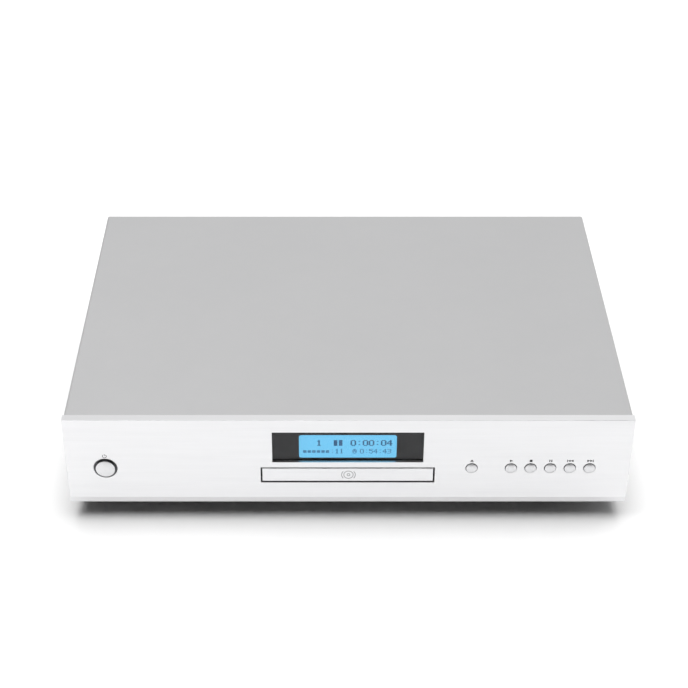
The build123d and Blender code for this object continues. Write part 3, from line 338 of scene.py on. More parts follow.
class GroupBench:
    """A node group while it is being made.

    Args:
        effect: Which effect it holds.
        numbers: Its number inputs and their usual values, besides Vector.
        outputs: Its value outputs.
    """

    def __init__(self, effect: Effect, numbers: dict[str, float], outputs: Iterable[str]) -> None:
        """Starts the group with its sockets."""
        self.tree = bpy.data.node_groups.new(effect.value, "ShaderNodeTree")
        face = self.tree.interface
        face.new_socket("Vector", in_out="INPUT", socket_type="NodeSocketVector")
        for name, usual in numbers.items():
            socket = face.new_socket(name, in_out="INPUT", socket_type="NodeSocketFloat")
            socket.default_value = usual
        for name in outputs:
            face.new_socket(name, in_out="OUTPUT", socket_type="NodeSocketFloat")
        self.column = 0
        self.given = self.node("NodeGroupInput").outputs
        self.result = self.tree.nodes.new("NodeGroupOutput")

    def node(self, kind: str) -> bpy.types.Node:
        """Adds a node of that kind, to the right of the last one."""
        made = self.tree.nodes.new(kind)
        made.location = (self.column * 190, 0)
        self.column += 1
        return made

    def feed(self, target: Socket, source: Socket | float | Point) -> None:
        """Gives an input its value, or a link."""
        if isinstance(source, bpy.types.NodeSocket):
            self.tree.links.new(source, target)
        else:
            target.default_value = source

    def stretched(self, scales: tuple[Socket | float, Socket | float, Socket | float]) -> Socket:
        """The group's Vector times a scale on each axis."""
        scale = self.node("ShaderNodeCombineXYZ")
        for target, source in zip(scale.inputs, scales):
            self.feed(target, source)
        product = self.node("ShaderNodeVectorMath")
        product.operation = "MULTIPLY"
        self.feed(product.inputs[0], self.given["Vector"])
        self.feed(product.inputs[1], scale.outputs[0])
        return product.outputs[0]

    def noise(self, vector: Socket, scale: Socket | float, detail: float, rough: float) -> Socket:
        """A noise texture's value."""
        made = self.node("ShaderNodeTexNoise")
        self.feed(made.inputs["Vector"], vector)
        self.feed(made.inputs["Scale"], scale)
        made.inputs["Detail"].default_value = detail
        made.inputs["Roughness"].default_value = rough
        return made.outputs["Fac"]

    def math(self, operation: str, a: Socket | float, b: Socket | float = 0.0) -> Socket:
        """One arithmetic step."""
        made = self.node("ShaderNodeMath")
        made.operation = operation
        self.feed(made.inputs[0], a)
        self.feed(made.inputs[1], b)
        return made.outputs[0]

    def spread(self, value: Socket, low: float, high: float) -> Socket:
        """The value stretched so that low gives 0 and high gives 1, and no further."""
        made = self.node("ShaderNodeMapRange")
        self.feed(made.inputs["Value"], value)
        made.inputs["From Min"].default_value = low
        made.inputs["From Max"].default_value = high
        return made.outputs["Result"]

    def done(self, **outputs: Socket) -> bpy.types.NodeTree:
        """Links the outputs, by name with _ for a space, and gives the finished group."""
        self.result.location = (self.column * 190, 0)
        for name, source in outputs.items():
            self.feed(self.result.inputs[name.replace("_", " ")], source)
        return self.tree


class EffectLibrary:
    """Makes each shared effect once, when a finish first asks for it."""

    def __init__(self) -> None:
        """Starts with no effect made."""
        self.made: dict[Effect, bpy.types.NodeTree] = {}

    def get(self, effect: Effect) -> bpy.types.NodeTree:
        """The node group of that effect."""
        if effect not in self.made:
            self.made[effect] = {
                Effect.BRUSHED_LINES: self._brushed_lines,
                Effect.MOULDED_GRAIN: self._moulded_grain,
                Effect.HANDLING_MARKS: self._handling_marks,
                Effect.SETTLED_DUST: self._settled_dust,
                Effect.TURNED_RINGS: self._turned_rings,
            }[effect]()
        return self.made[effect]

    def _brushed_lines(self) -> bpy.types.NodeTree:
        """Fine lines along X: Lines is their height, and Bands groups them in lighter and darker rows."""
        bench = GroupBench(
            Effect.BRUSHED_LINES, {"Along": 14.0, "Across": 3200.0}, ("Lines", "Bands")
        )
        along, across = bench.given["Along"], bench.given["Across"]
        fine = bench.noise(bench.stretched((along, across, across)), 1.0, 3.0, 0.65)
        tenth = bench.math("MULTIPLY", across, 0.07)
        broad = bench.noise(bench.stretched((along, tenth, tenth)), 1.0, 2.0, 0.5)
        return bench.done(Lines=bench.spread(fine, 0.28, 0.72), Bands=bench.spread(broad, 0.3, 0.7))

    def _moulded_grain(self) -> bpy.types.NodeTree:
        """The texture of a spark-eroded mould: Height for a bump, Speckle for colour."""
        bench = GroupBench(Effect.MOULDED_GRAIN, {"Scale": 1400.0}, ("Height", "Speckle"))
        vector, scale = bench.given["Vector"], bench.given["Scale"]
        pits = bench.node("ShaderNodeTexVoronoi")
        bench.feed(pits.inputs["Vector"], vector)
        bench.feed(pits.inputs["Scale"], scale)
        soft = bench.noise(vector, bench.math("MULTIPLY", scale, 0.45), 4.0, 0.6)
        height = bench.math("MULTIPLY", pits.outputs["Distance"], soft)
        speckle = bench.noise(vector, bench.math("MULTIPLY", scale, 0.12), 3.0, 0.7)
        return bench.done(
            Height=bench.spread(height, 0.05, 0.6), Speckle=bench.spread(speckle, 0.35, 0.65)
        )

    def _handling_marks(self) -> bpy.types.NodeTree:
        """Faint smears where hands have been: Mask is from 0 to Amount."""
        bench = GroupBench(Effect.HANDLING_MARKS, {"Scale": 28.0, "Amount": 0.5}, ("Mask",))
        vector, scale = bench.given["Vector"], bench.given["Scale"]
        smear = bench.spread(bench.noise(vector, scale, 5.0, 0.55), 0.5, 0.74)
        ridges = bench.noise(vector, bench.math("MULTIPLY", scale, 30.0), 1.0, 0.4)
        broken = bench.math("MULTIPLY", smear, bench.spread(ridges, 0.2, 0.7))
        return bench.done(Mask=bench.math("MULTIPLY", broken, bench.given["Amount"]))

    def _settled_dust(self) -> bpy.types.NodeTree:
        """Dust on what looks upwards: Mask is from 0 to Amount."""
        bench = GroupBench(Effect.SETTLED_DUST, {"Amount": 0.3}, ("Mask",))
        shape = bench.node("ShaderNodeNewGeometry")
        parts = bench.node("ShaderNodeSeparateXYZ")
        bench.feed(parts.inputs[0], shape.outputs["Normal"])
        upward = bench.spread(parts.outputs["Z"], 0.35, 0.95)
        patch = bench.spread(bench.noise(bench.given["Vector"], 60.0, 6.0, 0.7), 0.38, 0.72)
        motes = bench.spread(bench.noise(bench.given["Vector"], 1900.0, 2.0, 0.8), 0.45, 0.62)
        cover = bench.math("MULTIPLY", upward, bench.math("MULTIPLY", patch, motes))
        return bench.done(Mask=bench.math("MULTIPLY", cover, bench.given["Amount"]))

    def _turned_rings(self) -> bpy.types.NodeTree:
        """A lathe's rings round the Y axis through the vector's zero: Rings is their height."""
        bench = GroupBench(Effect.TURNED_RINGS, {"Across": 4200.0}, ("Rings",))
        parts = bench.node("ShaderNodeSeparateXYZ")
        bench.feed(parts.inputs[0], bench.given["Vector"])
        square = bench.math(
            "ADD",
            bench.math("MULTIPLY", parts.outputs["X"], parts.outputs["X"]),
            bench.math("MULTIPLY", parts.outputs["Z"], parts.outputs["Z"]),
        )
        reach = bench.math("MULTIPLY", bench.math("SQRT", square), bench.given["Across"])
        line = bench.node("ShaderNodeCombineXYZ")
        bench.feed(line.inputs[0], reach)
        return bench.done(Rings=bench.spread(bench.noise(line.outputs[0], 1.0, 2.0, 0.6), 0.3, 0.7))


EFFECTS = EffectLibrary()


class NodeBench:
    """One material while it is being made, with its shader and the calls that add nodes to it.

    Args:
        name: The material's name.
        centre: The point that its pattern is centred on, in millimetres.
        turn: How far the pattern is turned on each axis, in degrees.
    """

    def __init__(self, name: str, centre: Point = (0, 0, 0), turn: Point = (0, 0, 0)) -> None:
        """Starts the material and places its pattern."""
        self.material = bpy.data.materials.new(name)
        self.material.use_nodes = True
        self.tree = self.material.node_tree
        self.shader = self.tree.nodes["Principled BSDF"]
        self.column = -9
        coordinates = self.node("ShaderNodeTexCoord")
        mapping = self.node("ShaderNodeMapping")
        mapping.vector_type = "TEXTURE"
        mapping.inputs["Location"].default_value = [c * MM for c in centre]
        mapping.inputs["Rotation"].default_value = [math.radians(t) for t in turn]
        self.tree.links.new(coordinates.outputs["Object"], mapping.inputs["Vector"])
        self.place = mapping.outputs["Vector"]

    def node(self, kind: str) -> bpy.types.Node:
        """Adds a node of that kind, to the right of the last one."""
        made = self.tree.nodes.new(kind)
        made.location = (self.column * 190, -200)
        self.column += 1
        return made

    def feed(self, target: Socket, source: Socket | float | Colour) -> None:
        """Gives an input its value, or a link."""
        if isinstance(source, bpy.types.NodeSocket):
            self.tree.links.new(source, target)
        elif isinstance(source, tuple) and target.type == "RGBA":
            target.default_value = (*source, 1.0)
        else:
            target.default_value = source

    def effect(self, effect: Effect, **numbers: float) -> bpy.types.NodeOutputs:
        """Places a shared effect with its own values, and gives its outputs."""
        made = self.node("ShaderNodeGroup")
        made.node_tree = EFFECTS.get(effect)
        self.feed(made.inputs["Vector"], self.place)
        for name, value in numbers.items():
            made.inputs[name.replace("_", " ")].default_value = value
        return made.outputs

    def noise(self, scale: float, detail: float = 3.0) -> Socket:
        """A noise texture's value."""
        made = self.node("ShaderNodeTexNoise")
        self.feed(made.inputs["Vector"], self.place)
        made.inputs["Scale"].default_value = scale
        made.inputs["Detail"].default_value = detail
        return made.outputs["Fac"]

    def stripes(self, scale: float, along: str, wander: float = 0.0) -> Socket:
        """Even stripes, which change along one axis."""
        made = self.node("ShaderNodeTexWave")
        made.bands_direction = along
        self.feed(made.inputs["Vector"], self.place)
        made.inputs["Scale"].default_value = scale
        made.inputs["Distortion"].default_value = wander
        return made.outputs["Fac"]

    def cells(self, scale: float, feature: str = "F1") -> Socket:
        """Distance to the middle of a cell, or to its edge."""
        made = self.node("ShaderNodeTexVoronoi")
        made.feature = feature
        self.feed(made.inputs["Vector"], self.place)
        made.inputs["Scale"].default_value = scale
        return made.outputs["Distance"]

    def spread(
        self, value: Socket, source: tuple[float, float], target: tuple[float, float] = (0.0, 1.0)
    ) -> Socket:
        """The value moved from one range to another, and no further."""
        made = self.node("ShaderNodeMapRange")
        self.feed(made.inputs["Value"], value)
        for name, number in zip(("From Min", "From Max", "To Min", "To Max"), (*source, *target)):
            made.inputs[name].default_value = number
        return made.outputs["Result"]

    def times(self, a: Socket, b: Socket | float) -> Socket:
        """The product of two values."""
        made = self.node("ShaderNodeMath")
        made.operation = "MULTIPLY"
        self.feed(made.inputs[0], a)
        self.feed(made.inputs[1], b)
        return made.outputs[0]

    def blend(
        self, mask: Socket, low: Socket | Colour, high: Socket | Colour
    ) -> Socket:
        """One colour where the mask is 0, and another where it is 1."""
        made = self.node("ShaderNodeMix")
        made.data_type = "RGBA"
        self.feed(made.inputs["Factor"], mask)
        self.feed(made.inputs[6], low)
        self.feed(made.inputs[7], high)
        return made.outputs[2]

    def colour(self, source: Socket | Colour) -> None:
        """Sets the shader's base colour."""
        self.feed(self.shader.inputs["Base Color"], source)

    def roughness(self, source: Socket | float) -> None:
        """Sets the shader's roughness."""
        self.feed(self.shader.inputs["Roughness"], source)

    def metal(self) -> None:
        """Makes the shader a metal."""
        self.shader.inputs["Metallic"].default_value = 1.0

    def bump(self, height: Socket, strength: float, depth: float) -> None:
        """Raises the surface by a height.

        Args:
            height: What is raised, from 0 to 1.
            strength: How much of it shows.
            depth: How high 1 stands, in millimetres.
        """
        made = self.node("ShaderNodeBump")
        made.inputs["Strength"].default_value = strength
        made.inputs["Distance"].default_value = depth * MM
        self.feed(made.inputs["Height"], height)
        self.tree.links.new(made.outputs["Normal"], self.shader.inputs["Normal"])


def shade(colour: Colour, by: float) -> Colour:
    """The colour made lighter or darker by a factor, and never above 1."""
    return tuple(min(1.0, part * by) for part in colour)


# ------------------------------------------------------------------ finishes
@dataclass(frozen=True)
class Finish:
    """What every finish has.

    Args:
        name: The finish in a maker's words, and the material's name.
        tone: Its main colour.
        rough: Its usual roughness.
    """

    name: str
    tone: Colour
    rough: float

    def material(self) -> bpy.types.Material:
        """Makes the material."""
        raise NotImplementedError


@dataclass(frozen=True)
class BrushedAluminium(Finish):
    """Sheet or extrusion with a fine straight grain under clear anodising.

    Args:
        along: How often the grain changes along its length, in each metre.
        across: And across it.
        depth: The grain's depth, in millimetres.
        turn: The grain's direction, turned from X, in degrees.
    """

    along: float = 14.0
    across: float = 3200.0
    depth: float = 0.006
    turn: Point = (0.0, 0.0, 0.0)

    def material(self) -> bpy.types.Material:
        """A metal whose grain varies its colour, roughness and height; faces turned away from the front get
        painted shade and a rougher cut.
        """
        bench = NodeBench(self.name, turn=self.turn)
        grain = bench.effect(Effect.BRUSHED_LINES, Along=self.along, Across=self.across)
        marks = bench.effect(Effect.HANDLING_MARKS, Scale=16.0, Amount=0.35)
        bands = bench.blend(grain["Bands"], shade(self.tone, 0.965), self.tone)
        lines = bench.blend(bench.times(grain["Lines"], 0.5), bands, shade(self.tone, 1.05))
        # Faces turned away from the front, such as chamfers and the lower lip, are made darker: painted
        # shade, not the metal's own colour. The same mask also makes them rougher.
        shape = bench.node("ShaderNodeNewGeometry")
        parts = bench.node("ShaderNodeSeparateXYZ")
        bench.feed(parts.inputs[0], shape.outputs["Normal"])
        front_facing = bench.node("ShaderNodeMath")
        front_facing.operation = "ABSOLUTE"
        bench.feed(front_facing.inputs[0], parts.outputs["Y"])
        edge = bench.spread(front_facing.outputs[0], (0.35, 0.98), (1.0, 0.0))
        # Painted shade: a darker colour on faces turned away from the front.
        bench.colour(bench.blend(bench.times(edge, 0.5), lines, shade(self.tone, 0.92)))
        bench.metal()
        streaked = bench.spread(grain["Lines"], (0, 1), (self.rough - 0.05, self.rough + 0.06))
        cut = bench.node("ShaderNodeMix")
        bench.feed(cut.inputs["Factor"], bench.times(edge, 0.5))
        bench.feed(cut.inputs[2], streaked)
        bench.feed(cut.inputs[3], self.rough * 1.2)
        smeared = bench.node("ShaderNodeMath")
        smeared.operation = "ADD"
        bench.feed(smeared.inputs[0], cut.outputs[0])
        bench.feed(smeared.inputs[1], bench.times(marks["Mask"], 0.12))
        bench.roughness(smeared.outputs[0])
        bench.bump(grain["Lines"], 0.35, self.depth)
        return bench.material


@dataclass(frozen=True)
class PowderCoat(Finish):
    """Baked satin paint on steel.

    Args:
        peel: How often its surface rises and falls, in each metre.
        dust: How much dust lies on it.
    """

    peel: float = 1300.0
    dust: float = 0.25

    def material(self) -> bpy.types.Material:
        """Paint with a fine orange-peel, metal flake, faint rub marks and a little dust."""
        bench = NodeBench(self.name)
        marks = bench.effect(Effect.HANDLING_MARKS, Scale=11.0, Amount=0.6)
        dust = bench.effect(Effect.SETTLED_DUST, Amount=self.dust)
        flake = bench.spread(bench.cells(5200.0), (0.1, 0.6))
        cloud = bench.spread(bench.noise(9.0, 5.0), (0.35, 0.65))
        flecked = bench.blend(bench.times(flake, 0.35), shade(self.tone, 0.95), shade(self.tone, 1.08))
        clouded = bench.blend(bench.times(cloud, 0.25), flecked, shade(self.tone, 1.05))
        bench.colour(bench.blend(bench.times(dust["Mask"], 0.35), clouded, (0.62, 0.61, 0.58)))
        bench.roughness(
            bench.spread(marks["Mask"], (0, 0.6), (self.rough, self.rough + 0.08))
        )
        bench.bump(bench.noise(self.peel, 2.0), 0.25, 0.03)
        return bench.material


@dataclass(frozen=True)
class ZincPlate(Finish):
    """Plated sheet steel, with crystals in the zinc and the press's scratches.

    Args:
        crystal: Crystals in each metre.
        tint: The passivated zinc's second colour.
    """

    crystal: float = 210.0
    tint: Colour = (0.66, 0.66, 0.60)

    def material(self) -> bpy.types.Material:
        """A metal with patches of two tones and straight fine scratches."""
        bench = NodeBench(self.name)
        grain = bench.effect(Effect.BRUSHED_LINES, Along=30.0, Across=900.0)
        dust = bench.effect(Effect.SETTLED_DUST, Amount=0.5)
        crystals = bench.spread(bench.cells(self.crystal), (0.1, 0.7))
        patch = bench.spread(bench.noise(22.0, 4.0), (0.35, 0.65))
        base = bench.blend(crystals, self.tone, shade(self.tone, 1.12))
        aged = bench.blend(bench.times(patch, 0.5), base, self.tint)
        bench.colour(bench.blend(bench.times(dust["Mask"], 0.5), aged, (0.4, 0.39, 0.37)))
        bench.metal()
        bench.roughness(bench.spread(crystals, (0, 1), (self.rough - 0.06, self.rough + 0.08)))
        bench.bump(grain["Lines"], 0.2, 0.01)
        return bench.material


@dataclass(frozen=True)
class MouldedPlastic(Finish):
    """Opaque plastic with the texture of its mould.

    Args:
        grain: The texture's pits in each metre.
        depth: Their depth, in millimetres.
        dust: How much dust lies on it.
        gloss_marks: How much handling has polished it.
    """

    grain: float = 1500.0
    depth: float = 0.02
    dust: float = 0.4
    gloss_marks: float = 0.5

    def material(self) -> bpy.types.Material:
        """Grained plastic that is glossier where it is touched."""
        bench = NodeBench(self.name)
        mould = bench.effect(Effect.MOULDED_GRAIN, Scale=self.grain)
        marks = bench.effect(Effect.HANDLING_MARKS, Scale=35.0, Amount=self.gloss_marks)
        dust = bench.effect(Effect.SETTLED_DUST, Amount=self.dust)
        mottled = bench.blend(
            bench.times(mould["Speckle"], 0.5), shade(self.tone, 0.85), shade(self.tone, 1.25)
        )
        bench.colour(bench.blend(bench.times(dust["Mask"], 0.25), mottled, (0.3, 0.29, 0.28)))
        bench.roughness(bench.spread(marks["Mask"], (0, 1), (self.rough, self.rough * 0.6)))
        bench.bump(mould["Height"], 0.4, self.depth)
        return bench.material


@dataclass(frozen=True)
class NaturalAcetal(Finish):
    """Undyed gear plastic, slightly clear, with flow lines from its mould.

    Args:
        depth: The flow lines' depth, in millimetres.
    """

    depth: float = 0.01

    def material(self) -> bpy.types.Material:
        """Milky plastic that light enters a little."""
        bench = NodeBench(self.name)
        marks = bench.effect(Effect.HANDLING_MARKS, Scale=80.0, Amount=0.6)
        flow = bench.spread(bench.noise(130.0, 4.0), (0.35, 0.65))
        bench.colour(bench.blend(flow, shade(self.tone, 0.93), self.tone))
        bench.roughness(bench.spread(marks["Mask"], (0, 0.6), (self.rough, self.rough + 0.15)))
        bench.shader.inputs["Subsurface Weight"].default_value = 0.12
        bench.shader.inputs["Subsurface Scale"].default_value = 0.0015
        bench.bump(bench.noise(700.0, 2.0), 0.3, self.depth)
        return bench.material


@dataclass(frozen=True)
class Rubber(Finish):
    """Moulded rubber with a bloom on its surface.

    Args:
        grain: Its surface's pits in each metre.
    """

    grain: float = 900.0

    def material(self) -> bpy.types.Material:
        """Dull black with grey bloom and dust."""
        bench = NodeBench(self.name)
        mould = bench.effect(Effect.MOULDED_GRAIN, Scale=self.grain)
        dust = bench.effect(Effect.SETTLED_DUST, Amount=0.6)
        bloom = bench.spread(bench.noise(70.0, 5.0), (0.4, 0.7))
        bloomed = bench.blend(bench.times(bloom, 0.5), self.tone, shade(self.tone, 2.2))
        bench.colour(bench.blend(bench.times(dust["Mask"], 0.4), bloomed, (0.28, 0.27, 0.26)))
        bench.roughness(bench.spread(bloom, (0, 1), (self.rough, self.rough + 0.1)))
        bench.bump(mould["Height"], 0.6, 0.04)
        return bench.material


@dataclass(frozen=True)
class SatinPlating(Finish):
    """A turned part with satin plating, its rings centred on its own axis.

    Args:
        centre: A point on its axis, which runs along Y, in millimetres.
        rings: The lathe's rings in each metre.
    """

    centre: Point = (0.0, 0.0, 0.0)
    rings: float = 4200.0

    def material(self) -> bpy.types.Material:
        """Bright metal with faint rings and fingertip marks."""
        bench = NodeBench(self.name, centre=self.centre)
        turned = bench.effect(Effect.TURNED_RINGS, Across=self.rings)
        marks = bench.effect(Effect.HANDLING_MARKS, Scale=190.0, Amount=0.8)
        bench.colour(bench.blend(turned["Rings"], shade(self.tone, 0.95), shade(self.tone, 1.04)))
        bench.metal()
        bench.roughness(bench.spread(marks["Mask"], (0, 0.8), (self.rough, self.rough + 0.14)))
        bench.bump(turned["Rings"], 0.3, 0.004)
        return bench.material


@dataclass(frozen=True)
class BareMetal(Finish):
    """Plated pins, screws, rods and cans.

    Args:
        stain: The second colour, where the plating has dulled.
        drawn: Lines across the drawing direction, in each metre.
        turn: The drawing direction, turned from X, in degrees.
    """

    stain: Colour = (0.5, 0.48, 0.44)
    drawn: float = 2600.0
    turn: Point = (0.0, 0.0, 0.0)

    def material(self) -> bpy.types.Material:
        """Metal with drawn lines and dull patches."""
        bench = NodeBench(self.name, turn=self.turn)
        grain = bench.effect(Effect.BRUSHED_LINES, Along=60.0, Across=self.drawn)
        patch = bench.spread(bench.noise(160.0, 5.0), (0.42, 0.7))
        lined = bench.blend(grain["Lines"], shade(self.tone, 0.94), shade(self.tone, 1.05))
        bench.colour(bench.blend(bench.times(patch, 0.4), lined, self.stain))
        bench.metal()
        bench.roughness(bench.spread(patch, (0, 1), (self.rough, self.rough + 0.16)))
        bench.bump(grain["Lines"], 0.25, 0.006)
        return bench.material


@dataclass(frozen=True)
class SmokeAcrylic(Finish):
    """The clear window, lightly tinted, with a few smears."""

    def material(self) -> bpy.types.Material:
        """Clear plastic whose gloss is broken where it has been wiped."""
        bench = NodeBench(self.name)
        marks = bench.effect(Effect.HANDLING_MARKS, Scale=40.0, Amount=0.5)
        streak = bench.effect(Effect.BRUSHED_LINES, Along=30.0, Across=260.0)
        bench.colour(bench.blend(streak["Bands"], shade(self.tone, 0.985), self.tone))
        bench.roughness(bench.spread(marks["Mask"], (0, 0.5), (self.rough, self.rough + 0.05)))
        bench.shader.inputs["Transmission Weight"].default_value = 1.0
        bench.shader.inputs["IOR"].default_value = 1.42
        bench.bump(bench.noise(90.0, 2.0), 0.05, 0.02)
        return bench.material


@dataclass(frozen=True)
class BacklitGlass(Finish):
    """The display's glass over its blue backlight.

    Args:
        glow: The backlight's colour.
        power: Its strength.
        centre: The middle of the glass, in millimetres.
        reach: Half its width, in millimetres.
        pitch: The fine screen of its dots, in each metre.
    """

    glow: Colour = (0.16, 0.6, 0.88)
    power: float = 1.0
    centre: Point = (0.0, 0.0, 0.0)
    reach: float = 37.0
    pitch: float = 1300.0

    def material(self) -> bpy.types.Material:
        """Glass that shines evenly, a little less at its ends, behind a faint grid of dots."""
        bench = NodeBench(self.name, centre=self.centre)
        parts = bench.node("ShaderNodeSeparateXYZ")
        bench.feed(parts.inputs[0], bench.place)
        away = bench.node("ShaderNodeMath")
        away.operation = "ABSOLUTE"
        bench.feed(away.inputs[0], parts.outputs["X"])
        ends = bench.spread(away.outputs[0], (self.reach * MM * 0.75, self.reach * MM), (0.0, 0.35))
        grid = bench.times(bench.stripes(self.pitch, "X"), bench.stripes(self.pitch, "Z"))
        mottle = bench.times(bench.noise(45.0, 3.0), 0.12)
        lit = bench.blend(ends, self.glow, shade(self.glow, 0.9))
        screened = bench.blend(bench.times(grid, 0.05), lit, shade(self.glow, 0.8))
        bench.feed(
            bench.shader.inputs["Emission Color"],
            bench.blend(mottle, screened, shade(self.glow, 1.1)),
        )
        bench.shader.inputs["Emission Strength"].default_value = self.power
        bench.colour(bench.blend(grid, self.tone, shade(self.tone, 0.9)))
        bench.roughness(bench.spread(mottle, (0, 0.12), (self.rough, self.rough + 0.1)))
        return bench.material


@dataclass(frozen=True)
class PrintedInk(Finish):
    """Screen-printed ink, or a painted mark.

    Args:
        glow: How much of its own colour it gives off, for a display's printed glass.
    """

    glow: float = 0.0

    def material(self) -> bpy.types.Material:
        """Ink with the mesh's faint texture and worn spots."""
        bench = NodeBench(self.name)
        mould = bench.effect(Effect.MOULDED_GRAIN, Scale=4200.0)
        inked = bench.blend(mould["Speckle"], shade(self.tone, 0.88), shade(self.tone, 1.12))
        bench.colour(inked)
        bench.roughness(
            bench.spread(mould["Speckle"], (0, 1), (self.rough - 0.05, self.rough + 0.05))
        )
        if self.glow:
            bench.feed(bench.shader.inputs["Emission Color"], inked)
            bench.shader.inputs["Emission Strength"].default_value = self.glow
        bench.bump(mould["Height"], 0.2, 0.004)
        return bench.material


@dataclass(frozen=True)
class CircuitBoard(Finish):
    """Solder mask over copper tracks, with tinned pads.

    Args:
        tracks: Tracks side by side, in each metre.
        copper: The mask's colour over copper.
        turn: How the board lies, in degrees: a board on edge is turned flat.
    """

    tracks: float = 95.0
    copper: Colour = (0.08, 0.32, 0.14)
    turn: Point = (0.0, 0.0, 0.0)

    def material(self) -> bpy.types.Material:
        """Green lacquer with raised tracks in both directions and rows of pads."""
        bench = NodeBench(self.name, turn=self.turn)
        along = bench.spread(bench.stripes(self.tracks, "X", 1.2), (0.72, 0.8))
        up = bench.spread(bench.stripes(self.tracks, "Y", 1.2), (0.72, 0.8))
        where = bench.spread(bench.noise(48.0, 1.0), (0.49, 0.51))
        other = bench.spread(where, (0, 1), (1.0, 0.0))
        track = bench.node("ShaderNodeMath")
        track.operation = "MAXIMUM"
        bench.feed(track.inputs[0], bench.times(along, where))
        bench.feed(track.inputs[1], bench.times(up, other))
        pad = bench.spread(bench.cells(330.0), (0.16, 0.2), (1.0, 0.0))
        weave = bench.times(bench.stripes(700.0, "X"), bench.stripes(700.0, "Y"))
        mask = bench.blend(bench.times(weave, 0.3), self.tone, shade(self.tone, 1.2))
        tracked = bench.blend(track.outputs[0], mask, self.copper)
        bench.colour(bench.blend(pad, tracked, (0.62, 0.62, 0.6)))
        bench.feed(bench.shader.inputs["Metallic"], bench.times(pad, 0.9))
        bench.roughness(bench.spread(pad, (0, 1), (self.rough, self.rough + 0.1)))
        bench.bump(track.outputs[0], 0.6, 0.05)
        return bench.material


@dataclass(frozen=True)
class WoundTape(Finish):
    """Polyester tape wound over a transformer's ring.

    Args:
        centre: The ring's middle, in millimetres.
        turns: Laps of tape, in each metre outwards.
    """

    centre: Point = (0.0, 0.0, 0.0)
    turns: float = 60.0

    def material(self) -> bpy.types.Material:
        """Clear amber tape with its laps' edges and the copper under it."""
        bench = NodeBench(self.name, centre=self.centre)
        radial = bench.node("ShaderNodeTexGradient")
        radial.gradient_type = "RADIAL"
        bench.feed(radial.inputs["Vector"], bench.place)
        laps = bench.node("ShaderNodeMath")
        laps.operation = "FRACT"
        bench.feed(laps.inputs[0], bench.times(radial.outputs["Fac"], self.turns))
        edge = bench.spread(laps.outputs[0], (0.86, 0.96))
        wire = bench.spread(bench.stripes(420.0, "Z", 3.0), (0.3, 0.7))
        copper = bench.blend(wire, shade(self.tone, 0.75), shade(self.tone, 1.1))
        bench.colour(bench.blend(edge, copper, shade(self.tone, 0.5)))
        bench.roughness(bench.spread(edge, (0, 1), (self.rough, self.rough + 0.25)))
        bench.shader.inputs["Coat Weight"].default_value = 0.5
        bench.shader.inputs["Coat Roughness"].default_value = 0.08
        bench.bump(laps.outputs[0], 0.5, 0.12)
        return bench.material


@dataclass(frozen=True)
class StripedSleeve(Finish):
    """A cable's or can's sleeve with lines along it.

    Args:
        second: The lines' colour.
        pitch: Lines in each metre.
        along: The axis that the lines follow one another on.
        share: How much of each pitch a line takes.
    """

    second: Colour = (0.5, 0.5, 0.5)
    pitch: float = 400.0
    along: str = "X"
    share: float = 0.4

    def material(self) -> bpy.types.Material:
        """Smooth sleeve, raised over each line."""
        bench = NodeBench(self.name)
        marks = bench.effect(Effect.HANDLING_MARKS, Scale=60.0, Amount=0.5)
        line = bench.spread(
            bench.stripes(self.pitch, self.along), (1 - self.share, 1.05 - self.share)
        )
        bench.colour(bench.blend(line, self.tone, self.second))
        bench.roughness(bench.spread(marks["Mask"], (0, 0.5), (self.rough, self.rough + 0.12)))
        bench.bump(line, 0.5, 0.03)
        return bench.material


@dataclass(frozen=True)
class CoatedLens(Finish):
    """The pickup's lens, with its violet coating."""

    def material(self) -> bpy.types.Material:
        """Clear glass under a tinted coat."""
        bench = NodeBench(self.name)
        tint = bench.spread(bench.noise(220.0, 2.0), (0.35, 0.65))
        bench.colour(bench.blend(tint, self.tone, shade(self.tone, 0.85)))
        bench.roughness(bench.spread(tint, (0, 1), (self.rough, self.rough + 0.03)))
        bench.shader.inputs["Transmission Weight"].default_value = 0.85
        bench.shader.inputs["Coat Weight"].default_value = 1.0
        bench.shader.inputs["Coat Tint"].default_value = (0.75, 0.6, 1.0, 1.0)
        return bench.material


# ------------------------------------------------------------------ printed marks on the front
class Heading(Enum):
    """Which way a wedge points."""

    RIGHT = (1, 0, 0)
    LEFT = (-1, 0, 0)
    UP = (0, 0, 1)


class Key(Enum):
    """The front keys, by the name of their CAD node's first word."""

    EJECT = "eject"
    PLAY = "play"
    STOP = "stop"
    PAUSE = "pause"
    PREVIOUS = "previous"
    NEXT = "next"


